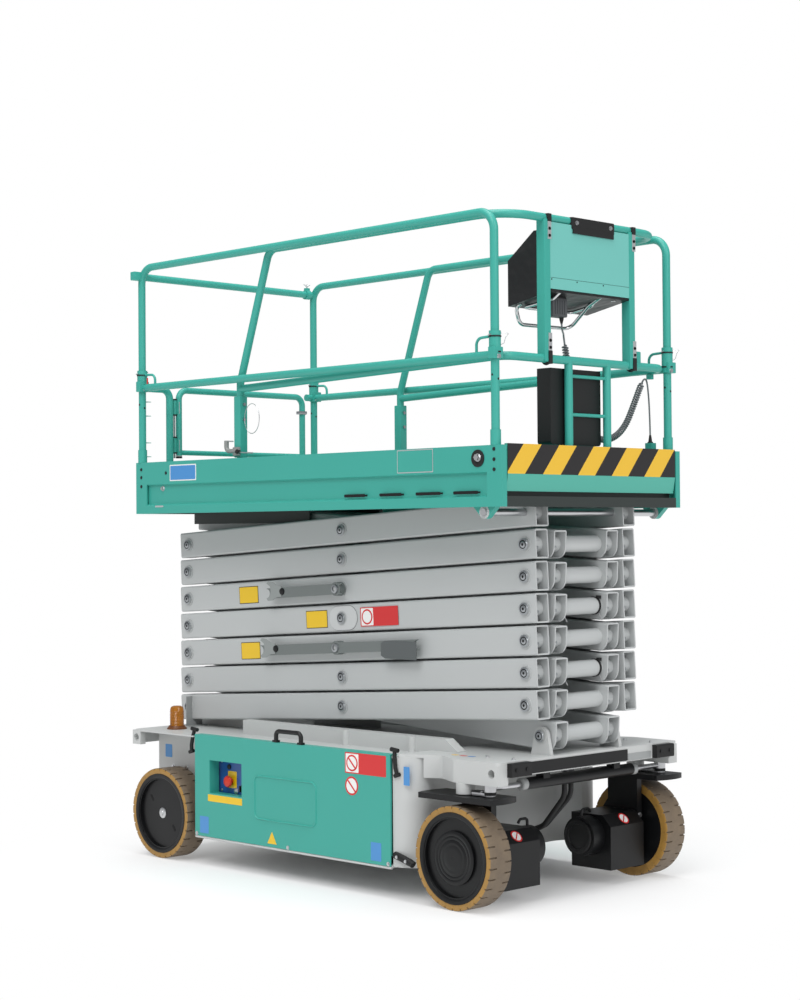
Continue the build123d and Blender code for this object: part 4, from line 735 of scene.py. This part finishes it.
for name, level, width, x in (("prop_notice_upper", 5, 0.134, -0.643),
                              ("prop_notice_lower", 3, 0.134, -0.631), ("crush_notice", 4, 0.14, -0.18)):
    arm_sign(f"{name}_rim", level, black_plastic, rounded(width, 0.078, 0.003), x)
    arm_sign(name, level, yellow_vinyl, rounded(width - 0.006, 0.072, 0.003), x, SIGN)
arm_sign("arm_notice_red", 4, red_vinyl, rounded(0.232, 0.082, 0.003), 0.219, 0.003)
for i, (name, material, outline) in enumerate((("white", white_vinyl, rounded(0.074, 0.074, 0.003)),
                                               ("ring", red_vinyl, circle(0.033)),
                                               ("disc", white_vinyl, circle(0.026)))):
    arm_sign(f"arm_notice_{name}", 4, material, outline, 0.146, 0.003 + (i + 1) * SIGN)

# a collar holds each prop's boss on its pin
boss_collar = ((-0.004, 0.0102), (-0.004, 0.02), (0.004, 0.018), (0.005, 0.0102))
for prop, level in (("prop_upper", 5), ("prop_lower", 3)):
    seat = (middle_x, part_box(prop)[0].y - 0.0042, arm_middle(level, middle_x))
    piece(f"{prop}_collar", f"outer_{level}", collar_steel, (add_turned, boss_collar, seat, OUT, 28))

# ---------------------------------------------------------------- platform
# Folded sheet sides with a sunk band, floor and joists, enamelled sea green. The near side carries a bare
# data plate, a blank blue label and plated screws, and rubber plugs close the holes at its corners.
dress(green, "platform_sides", "guard_rails", "gate", "extension_deck", "extension_rail")
dress(bright_steel, "pivot_rod")
# The floor and joists get painted shade: near-black below the sunk band's lower edge, sea green above it.
frame_shaded, tree, shader, place = new_material("stove_enamel_with_painted_underside_shade")
height = add_node(tree, "ShaderNodeSeparateXYZ", {"Vector": place})["Z"]
above = reckon(tree, "GREATER_THAN", height, 1.64)  # below the sunk band's lower edge the frame is painted near-black as shade under the platform
set_up(tree, shader, {"Base Color": mix(tree, linear("2A3230"), linear("3CA99B"), above), "Roughness": 0.45})
dress(frame_shaded, "platform_frame")
sides_low, sides_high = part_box("platform_sides")
near, toe_top = sides_low.y, sides_high.z
bare_plate = plated("bare_aluminium_plate", "DADCDD", 0.42)
for name, material, size, x, z, lift in (
        ("load_label_rim", white_vinyl, (0.192, 0.074, 0.003), -0.809, 1.758, 0),
        ("load_label", blue_vinyl, (0.182, 0.064, 0.002), -0.809, 1.758, SIGN),
        ("data_plate", bare_plate, (0.204, 0.094, 0.003), 0.687, 1.762, 0),
        ("data_plate_field", green, (0.196, 0.086, 0.002), 0.687, 1.762, SIGN),
        ("band_label", bare_plate, (0.06, 0.008, 0.001), -0.985, 1.606, 0)):
    sign(name, "platform", material, rounded(*size), (x, near - lift, z), *NEAR)
# the slots in the sunk band are drawn as flat black plates of painted shade
slots = ((0.269, 0.396), (0.48, 0.61), (0.69, 0.83), (0.899, 1.034))
piece("slot_shade_plates", "platform", black_enamel,
      *((add_plate, rounded(end - start, 0.0125, 0.005), ((start + end) / 2, near, 1.63), *NEAR, 0.0008)
        for start, end in slots), smooth=False)
plug = ((0, 0.0075), (0.0015, 0.0075), (0.0018, 0.005), (0.0018, 0))
plug_holes = ((1.119, 1.796), (1.119, 1.756), (1.119, 1.717), (-1.12, 1.779), (-1.12, 1.742), (-1.12, 1.7),
              (-0.934, 1.759))
piece("corner_plugs", "platform", black_rubber,
      *((add_turned, plug, (x, near, z), OUT, 16) for x, z in plug_holes))
bolts("side_screws", "platform", bright_steel, [((-0.972, near + 0.013, 1.688), OUT)], 0.016, 0.01)
cover = ((0, 0.034), (0.003, 0.034), (0.004, 0.032), (0.004, 0.02), (0.001, 0.018), (0.001, 0))
piece("pivot_cover", "platform", black_rubber, (add_turned, cover, (1.034, near, 1.762), OUT, 36))
bolts("pivot_bolt", "platform", bright_steel, [((1.034, near - 0.001, 1.766), OUT)], 0.026, 0.012, 0.034)
ear_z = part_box("pivot_rod")[0].z + 0.015
piece("ear_cheeks", "platform", arm_grey,
      *((add_plate, circle(0.026), (front_x, side * y, ear_z), (1, 0, 0), (0, 0, out), 0.001)
        for side in (-1, 1) for y, out in ((0.542, -side), (0.514, side))), smooth=False)
gusset = [(-0.03, 0.0), (0.03, 0.0), (0.012, 0.06), (-0.012, 0.06)]
piece("toe_gussets", "platform", green,
      *((add_plate, gusset, (x, 0.548, toe_top), *FRONT, 0.006) for x in (-0.944, -0.853, -0.272, -0.196)),
      smooth=False)

# ---------------------------------------------------------------- guard rails
# Bent tube, enamelled with the platform. At the mid rail each post has a clamped sleeve with a lifting loop,
# and plated pins with clips hold the fold-down rails up.
UP = (0, 0, 1)
rear_post, front_post, rail_y, mid_rail = -1.133, 1.112, 0.54, 2.162
sleeve_band = band(-0.003, 0.003, 0.0236, 0.0255)
sleeves, dark, bright = bmesh.new(), bmesh.new(), bmesh.new()
for x, inward, foot, top in ((rear_post, 1, 2.147, 2.243), (front_post, -1, 2.15, 2.255)):
    for side in (-1, 1):
        y = side * rail_y
        add_rod(sleeves, (x, y, foot), (x, y, top), 0.0235, 28)
        add_block(sleeves, (x - 0.01, y - side * 0.0215, foot - 0.004),
                  (x + 0.024, y + side * 0.03, mid_rail + 0.03), 0.004)
        for z in (foot + 0.022, top - 0.022):
            add_turned(dark, sleeve_band, (x, y, z), UP, 28)
        loop = [(x + inward * 0.018, y, top - 0.02), (x + inward * 0.098, y, top - 0.024),
                (x + inward * 0.098, y, mid_rail + 0.01)]
        add_tube(sleeves, bend(loop, 0.028), 0.0058, 10)
        add_rod(bright, (x + 0.02, y - 0.006, 2.155), (x + 0.03, y - 0.006, 2.155), 0.0105, 20, 0.0085)
        add_rod(bright, (x - 0.002, y - 0.034, top - 0.018), (x + 0.004, y + 0.03, top - 0.006), 0.0035, 10)
finish("post_sleeves", "platform", green, sleeves)
finish("sleeve_bands", "platform", black_rubber, dark)
finish("sleeve_pins", "platform", bright_steel, bright)
clip = ((0, 0, 0), (0.01, 0.02, 0.004), (0.008, 0.034, 0.001), (0.006, 0.02, -0.012), (0.006, 0.01, -0.036),
        (0.004, -0.008, -0.044))
clip_starts = [Vector((front_post + 0.018, side * rail_y + 0.016, 2.243)) for side in (-1, 1)]
piece("sleeve_clips", "platform", bright_steel,
      *((add_tube, [start + Vector(step) for step in clip], 0.0013, 6) for start in clip_starts))
tag_place = (rear_post + 0.045, -rail_y - 0.004, 2.192)
sign("sleeve_tag", "platform", red_vinyl, rounded(0.01, 0.03, 0.002), tag_place, *NEAR)
post_plug = ((0, 0.0045), (0.0012, 0.0045), (0.0012, 0))
piece("post_plugs", "platform", black_rubber,
      *((add_turned, post_plug, Vector((x, side * rail_y, z)) + Vector(way) * 0.0166, way, 12)
        for x in (rear_post, front_post) for side in (-1, 1)
        for z, way in ((2.084, OUT), (2.068, (1, 0, 0)))))
piece("post_pegs", "platform", green,
      *((add_rod, (rear_post, -rail_y + 0.012, z), (rear_post, -rail_y + 0.05, z + 0.001), 0.0028, 10, 0.0014)
        for z in (2.098, 2.032, 1.906, 1.841)))
rear_bar, bar_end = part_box("guard_rails")[1].z - 0.057, 0.498
piece("bar_clamps", "platform", green,
      (add_turned, band(-0.014, 0.014, 0.0172, 0.0235), (rear_post, bar_end, rear_bar), (0, 1, 0), 28),
      (add_block, (rear_post - 0.01, 0.486, rear_bar + 0.02), (rear_post + 0.01, 0.51, rear_bar + 0.034),
       0.002),
      (add_block, (rear_post - 0.02, -0.592, rear_bar - 0.018), (rear_post + 0.014, -0.524, rear_bar + 0.022),
       0.004))
piece("wing_nut", "platform", bright_steel,
      (add_rod, (rear_post, bar_end, rear_bar + 0.03), (rear_post, bar_end, rear_bar + 0.052), 0.0035, 12),
      *((add_rod, (rear_post, bar_end, rear_bar + 0.042),
         (rear_post + way * 0.009, bar_end + way * 0.014, rear_bar + 0.053), 0.0036, 10, 0.0022)
        for way in (-1, 1)))

# ---------------------------------------------------------------- gate
# A sprung-shut gate of light tube: plated hinge leaves with a long pin on its post, and a latch on the far
# stile.
hinge_y = -0.352
piece("hinge_pin", "gate", collar_steel,
      (add_rod, (rear_post, hinge_y, 1.838), (rear_post, hinge_y, 2.118), 0.0045, 12))
piece("hinge_leaves", "gate", bare_plate,
      *((add_block, (rear_post + side * 0.0122, hinge_y + inner, z - 0.03),
         (rear_post + side * 0.0142, hinge_y + outer, z + 0.026), 0.0005)
        for z in (1.9, 2.08) for side, inner, outer in ((1, 0.0175, 0.03), (-1, 0.004, 0.028))), smooth=False)
piece("hinge_rings", "gate", black_rubber,
      *((add_turned, band(low, low + 0.006, 0.0109, 0.0125), (rear_post, hinge_y, z), UP, 20)
        for z in (1.9, 2.08) for low in (-0.04, 0.034)),
      (add_rod, (rear_post, -0.325, 1.838), (rear_post, -0.325, 1.848), 0.0155, 20))
piece("gate_latch", "gate", collar_steel,
      (add_block, (rear_post - 0.018, 0.436, 2.076), (rear_post + 0.018, 0.478, 2.092), 0.003),
      (add_rod, (rear_post, 0.458, 2.08), (rear_post, 0.482, 2.08), 0.006, 14))

# ---------------------------------------------------------------- hazard board
# The board on the extension's front edge: its upright face has diagonal yellow and black stripes, 106 mm wide
# along the sheet, and its chamfered foot is left green.
STRIPE, LEAN, START = 0.106, 0.85, 1.9775
board, tree, shader, place = new_material("striped_enamel_yellow_black")
axes = add_node(tree, "ShaderNodeSeparateXYZ", {"Vector": place})
along = reckon(tree, "ADD", axes["Y"], reckon(tree, "MULTIPLY_ADD", axes["Z"], -LEAN, START))
step = reckon(tree, "LESS_THAN", reckon(tree, "FLOORED_MODULO", along, 2 * STRIPE), STRIPE)
stripes = mix(tree, linear("211F20"), linear("EDBE38"), step)
upright = reckon(tree, "MULTIPLY", reckon(tree, "GREATER_THAN", axes["Z"], 1.7005),
                 reckon(tree, "GREATER_THAN", axes["X"], 1.1585))
set_up(tree, shader, {"Base Color": mix(tree, linear("4DB09F"), stripes, upright), "Roughness": 0.35})
dress(board, "hazard_board")

# ---------------------------------------------------------------- deck extension
# The sliding deck's rear posts stand in square sleeves with a grey cast latch at the near one's foot and a
# wire ring on its pin. The front mid rail carries an upright tab.
post_x, post_y = -0.467, 0.5
piece("extension_sleeves", "extension", green,
      *((add_block, (post_x - 0.022, side * post_y - 0.0205, 1.816),
         (post_x + 0.022, side * post_y + 0.0205, 2.088), 0.004) for side in (-1, 1)),
      (add_block, (1.117, 0.306, mid_rail + 0.01), (1.135, 0.334, mid_rail + 0.062), 0.006))
piece("extension_pins", "extension", collar_steel,
      *((add_rod, (post_x + 0.02, side * post_y, z), (post_x + 0.029, side * post_y, z), 0.0075, 14)
        for side in (-1, 1) for z in (2.052, 1.984)))
centre = Vector((post_x + 0.082, -post_y, 1.986))
ring = [centre + Vector((0.05 * math.cos(a), -0.004, 0.066 * math.sin(a)))
        for a in (2 * math.pi * k / 40 for k in range(41))]
piece("pin_ring", "extension", bright_steel, (add_tube, ring, 0.0016, 6))
latch_y, crank_x = -post_y - 0.028, post_x - 0.066
crank = [(post_x + 0.012, latch_y, 1.845), (crank_x, latch_y, 1.845), (crank_x, latch_y, 1.893)]
piece("latch_casting", "extension", moulded("cast_iron_grey_painted", "8B8D8C", 0.5),
      (add_tube, bend(crank, 0.022), 0.0105, 12),
      (add_block, (post_x - 0.02, latch_y - 0.004, 1.824), (post_x + 0.022, -post_y - 0.019, 1.862), 0.004))
piece("latch_rods", "extension", bright_steel,
      (add_rod, (crank_x, latch_y, 1.89), (post_x - 0.02, latch_y, 1.888), 0.003, 10),
      (add_rod, (post_x + 0.016, latch_y, 1.838), (post_x + 0.11, latch_y + 0.004, 1.832), 0.0032, 10))
piece("latch_knob", "extension", black_plastic,
      (add_rod, (post_x + 0.016, latch_y - 0.012, 1.841), (post_x + 0.016, latch_y + 0.006, 1.841), 0.0095,
       18))

# ---------------------------------------------------------------- control station
# A flat green panel between two box legs carries the platform controls at the front rail. Rubber straps with
# plated plates clamp the legs to the rails, and a rubber pad is bolted over the top rail.
dress(black_plastic, "control_box", "document_box")
leg_y, leg_half, leg_back, leg_front, top_rail = 0.2655, 0.0175, 1.103, 1.146, 2.723
plate_front = leg_front + 0.0022
legs, straps, plates, screws = bmesh.new(), bmesh.new(), bmesh.new(), []
for side in (-1, 1):
    y = side * leg_y
    edge = y + leg_half - 0.006
    add_block(legs, (leg_back, y - leg_half, 2.148), (leg_front, y + leg_half, 2.716), 0.003)
    # each strap: its rail, how far its loop reaches up, its rubber's foot and top, and its plate's middle
    for rail_z, reach, low, high, plate_z in ((mid_rail, 0.0215, 2.14, 2.193, 2.227),
                                              (top_rail, 0.013, 2.706, 2.738, 2.672)):
        angles = (2 * math.pi * k / 20 for k in range(21))
        loop = [(1.125 + 0.0215 * math.cos(a), edge, rail_z - 0.001 + min(0.0185, reach * math.sin(a)))
                for a in angles]
        add_tube(straps, loop, 0.0045, 8)
        add_block(straps, (1.128, edge - 0.011, low), (1.1505, edge + 0.011, high), 0.003)
        add_block(plates, (leg_front, edge - 0.0105, plate_z - 0.036),
                  (plate_front, edge + 0.0105, plate_z + 0.036), 0.0005)
        screws += [((plate_front, edge, plate_z + dz), (1, 0, 0)) for dz in (-0.022, 0.006)]
finish("station_legs", "extension", green, legs, smooth=False)
finish("strap_rubbers", "extension", black_rubber, straps)
finish("strap_plates", "extension", bare_plate, plates, smooth=False)
bolts("strap_screws", "extension", black_enamel, screws, 0.01, 0.004, 0.013)
inside, sheet = leg_y - leg_half, leg_front - 0.0015
piece("station_panel", "extension", enamel("stove_enamel_pale_green", "74C4BB", gloss=0.34),
      (add_block, (leg_front - 0.004, -inside, 2.44), (sheet, inside, 2.484), 0.0006),
      (add_block, (leg_front - 0.004, -inside, 2.4855), (sheet, inside, 2.706), 0.0006),
      (add_block, (1.108, -inside, 2.438), (leg_front - 0.004, inside, 2.441), 0.0006), smooth=False)
piece("rail_pad", "extension", black_rubber,
      (add_block, (1.102, -0.118, 2.69), (1.15, 0.15, 2.7395), 0.008),
      (add_block, (1.146, -0.112, 2.672), (1.151, 0.144, 2.7), 0.002),
      (add_block, (1.104, -0.19, 2.722), (1.13, -0.118, 2.7385), 0.005))
pad_bolts = [((1.15, y, 2.716), (1, 0, 0)) for y in (-0.09, 0.122)]
bolts("rail_pad_bolts", "extension", bright_steel, pad_bolts, 0.015, 0.006, 0.018)
piece("panel_rivets", "extension", black_enamel,
      *((add_turned, ((0, 0.003), (0.001, 0.003), (0.001, 0)), (leg_front - 0.0014, y, 2.478), (1, 0, 0), 10)
        for y in (-0.24, -0.085, 0.08)))

# soft cover over the controls: black coated cloth with an eyelet
cloth, tree, shader, place = new_material("coated_cloth_black")
folds = noise(tree, place, 0.11, 2)
set_up(tree, shader, {"Base Color": linear("111214"), "Roughness": 0.42,
                      "Normal": bumps(tree, folds, 0.9, 0.012)})
dress(cloth, "control_box")
piece("hem_eyelet", "extension", bare_plate,
      (add_turned, band(-0.0006, 0.0006, 0.004, 0.01), (1.118, 0.176, 2.4242), (0, 0, -1), 20))

# bright wire guard under the cover, in two hoops
lower = [(1.13, 0.086, 2.436), (1.05, 0.098, 2.404), (0.93, 0.119, 2.32), (0.93, -0.194, 2.318),
         (0.93, -0.215, 2.385), (0.96, -0.215, 2.4)]
upper = [(1.132, -0.165, 2.44), (1.105, -0.19, 2.404), (0.955, -0.198, 2.384), (0.955, 0.1, 2.384),
         (1.06, 0.104, 2.402), (1.08, 0.104, 2.425)]
piece("wire_guard", "extension", plated("chromed_wire", "D5D6D8", 0.16),
      (add_tube, bend(lower, 0.034), 0.0078, 12), (add_tube, bend(upper, 0.024), 0.0068, 12))

# ---------------------------------------------------------------- control cord
# A plain lead, a long curly stretch and a plain tail, all one grey PVC-sheathed wire of 8 mm. The curl is
# wound by a loop round the route's own smooth line, and a tapered sleeve ends it at the socket.
COIL_START, COIL_END = Vector((1.0, 0.004, 2.243)), Vector((1.018, 0.486, 2.108))
CORD_ROUTE = [(1.07, -0.096, 2.34), (1.07, -0.096, 2.312), (1.058, -0.078, 2.293), (1.034, -0.046, 2.286),
              (1.016, -0.022, 2.285), (1.0, -0.0018, 2.273), (1.0, 0.004, 2.243), (1.0, 0.022, 2.15),
              (1.0, 0.048, 2.055), (1.0, 0.088, 1.965), (1.0, 0.15, 1.89), (1.0, 0.235, 1.853),
              (1.002, 0.322, 1.87), (1.006, 0.39, 1.924), (1.01, 0.438, 2.01), (1.015, 0.474, 2.084),
              (1.018, 0.486, 2.108), (1.0195, 0.492, 2.12), (1.028, 0.498, 2.126), (1.036, 0.5, 2.106),
              (1.043, 0.501, 2.03), (1.046, 0.501, 1.96), (1.047, 0.502, 1.9), (1.047, 0.502, 1.85)]
WIRE, CURL, PITCH, STEPS = 0.0038, 0.0108, 0.0108, 18
line = bpy.data.curves.new("cord_route", "CURVE")
line.dimensions = "3D"
spline = line.splines.new("NURBS")
spline.points.add(len(CORD_ROUTE) - 1)
for point, spot in zip(spline.points, CORD_ROUTE):
    point.co = (*spot, 1)
spline.order_u = 3
spline.use_endpoint_u = True
spline.resolution_u = 24
guide = new_object("cord_route", line)
bpy.context.view_layer.update()
route = [v.co.copy() for v in bpy.data.meshes.new_from_object(guide).vertices]
bpy.data.objects.remove(guide)
first = min(range(len(route)), key=lambda i: (route[i] - COIL_START).length)
last = min(range(len(route)), key=lambda i: (route[i] - COIL_END).length)
coil = route[first : last + 1]
reach = [0.0]
for a, b in zip(coil, coil[1:]):
    reach.append(reach[-1] + (b - a).length)
turns = round(reach[-1] / PITCH)
across = (coil[1] - coil[0]).orthogonal().normalized()
curl, index = [], 0
for k in range(turns * STEPS + 1):
    at = reach[-1] * k / (turns * STEPS)
    while index < len(coil) - 2 and reach[index + 1] < at:
        index += 1
    along = (coil[index + 1] - coil[index]).normalized()
    middle = coil[index] + along * (at - reach[index])
    across = (across - along * across.dot(along)).normalized()
    angle = 2 * math.pi * k / STEPS
    swell = min(1.0, k / STEPS, (turns * STEPS - k) / STEPS) * CURL
    curl.append(middle + swell * (across * math.cos(angle) + along.cross(across) * math.sin(angle)))
path = route[:first] + curl + route[last + 1 :]
sheath = moulded("extruded_pvc_grey", "777B7E", 0.42)
cord = piece("control_cord", "extension", sheath, (add_tube, path, WIRE, 8))
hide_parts("control_cord_lead", "control_cord_coil", "control_cord_tail")
dress(sheath, "control_cord_lead", "control_cord_coil", "control_cord_tail")
dress(green, "cord_fittings")
sleeve = ((-0.002, 0.012), (0.004, 0.012), (0.006, 0.0085), (0.034, 0.0046))
relief = piece("socket_relief", "extension", black_rubber, (add_turned, sleeve, CORD_ROUTE[-1], UP, 20))
piece("lead_gland", "extension", black_rubber,
      (add_turned, ((0.001, 0.0095), (-0.006, 0.009), (-0.024, 0.0044)), CORD_ROUTE[0], UP, 20))

# handset under the cover: a dark grey case with a ribbed face
ribs = (-0.157, -0.143, -0.129, -0.115, -0.101)
piece("handset", "extension", moulded("moulded_abs_grey", "4C4F52", 0.5),
      (add_block, (1.0465, -0.1755, 2.3398), (1.0935, -0.0845, 2.416), 0.008),
      *((add_block, (1.0925, y - 0.004, 2.35), (1.0955, y + 0.004, 2.406), 0.001) for y in ribs))

# ---------------------------------------------------------------- camera
# A long lens at the height of the scissor stack, looking along the machine's corner.
camera = bpy.data.objects.new("camera", bpy.data.cameras.new("camera"))
bpy.context.scene.collection.objects.link(camera)
turn, pitch, roll = math.radians(45.3467), math.radians(1.0521), math.radians(-0.4263)
ahead = Vector((-math.sin(turn) * math.cos(pitch), math.cos(turn) * math.cos(pitch), math.sin(pitch)))
level = Vector((math.cos(turn), math.sin(turn), 0))
right = math.cos(roll) * level + math.sin(roll) * level.cross(ahead)
camera.matrix_world = Matrix.Translation((6.2725, -6.1412, 1.4687)) @ Matrix(
    (right, right.cross(ahead), -ahead)).transposed().to_4x4()
camera.data.lens = 70.84
camera.data.sensor_width = 36
camera.data.shift_x, camera.data.shift_y = -0.0037, -0.0018
camera.data.clip_end = 60
bpy.context.scene.camera = camera

# ---------------------------------------------------------------- floor and light
# A pale studio floor that fades into a white surround, with a large soft key from the near side, a second
# from the front and one overhead.
floor_mesh = bpy.data.meshes.new("studio_floor")
floor_mesh.from_pydata([(-40, -40, 0), (40, -40, 0), (40, 40, 0), (-40, 40, 0)], [], [(0, 1, 2, 3)])
studio_floor = new_object("studio_floor", floor_mesh)
paper, tree, shader, place = new_material("matt_paper_white")
set_up(tree, shader, {"Base Color": (0.9, 0.9, 0.9, 1), "Roughness": 0.9})
away = add_node(tree, "ShaderNodeVectorMath", {"operation": "LENGTH", "Vector": place})["Value"]
fade = add_node(tree, "ShaderNodeMapRange",
                {"interpolation_type": "SMOOTHSTEP", "From Min": 0.5, "From Max": 2.0, "Value": away})[0]
glow = add_node(tree, "ShaderNodeEmission", {"Color": (1, 1, 1, 1), "Strength": 1.0})[0]
cove = add_node(tree, "ShaderNodeMixShader", {0: fade, 1: shader.outputs["BSDF"], 2: glow})[0]
set_up(tree, tree.nodes["Material Output"], {"Surface": cove})
studio_floor.data.materials.append(paper)

world = bpy.data.worlds.new("studio")
bpy.context.scene.world = world
world.use_nodes = True
tree = world.node_tree
fill = set_up(tree, tree.nodes["Background"], {"Color": (0.95, 0.97, 1.0, 1), "Strength": 0.38})
white = add_node(tree, "ShaderNodeBackground", {"Color": (1, 1, 1, 1), "Strength": 1.0})[0]
ray = add_node(tree, "ShaderNodeLightPath", {})
seen = reckon(tree, "MAXIMUM", ray["Is Camera Ray"], ray["Is Transmission Ray"])
pick = add_node(tree, "ShaderNodeMixShader", {0: seen, 1: fill.outputs[0], 2: white})[0]
set_up(tree, tree.nodes["World Output"], {"Surface": pick})

for name, spot, size, power in (("key", (4.5, -12.0, 15.0), 10.0, 1650),
                                ("front", (16.0, -2.0, 9.0), 8.0, 820),
                                ("top", (0.0, 0.0, 24.0), 14.0, 3300)):
    lamp = new_object(name, bpy.data.lights.new(name, "AREA"))
    lamp.data.size = size
    lamp.data.energy = power
    lamp.location = spot
    lamp.rotation_euler = (Vector((0, 0, 1.2)) - Vector(spot)).to_track_quat("-Z", "Y").to_euler()
bpy.context.scene.view_settings.view_transform = "Standard"
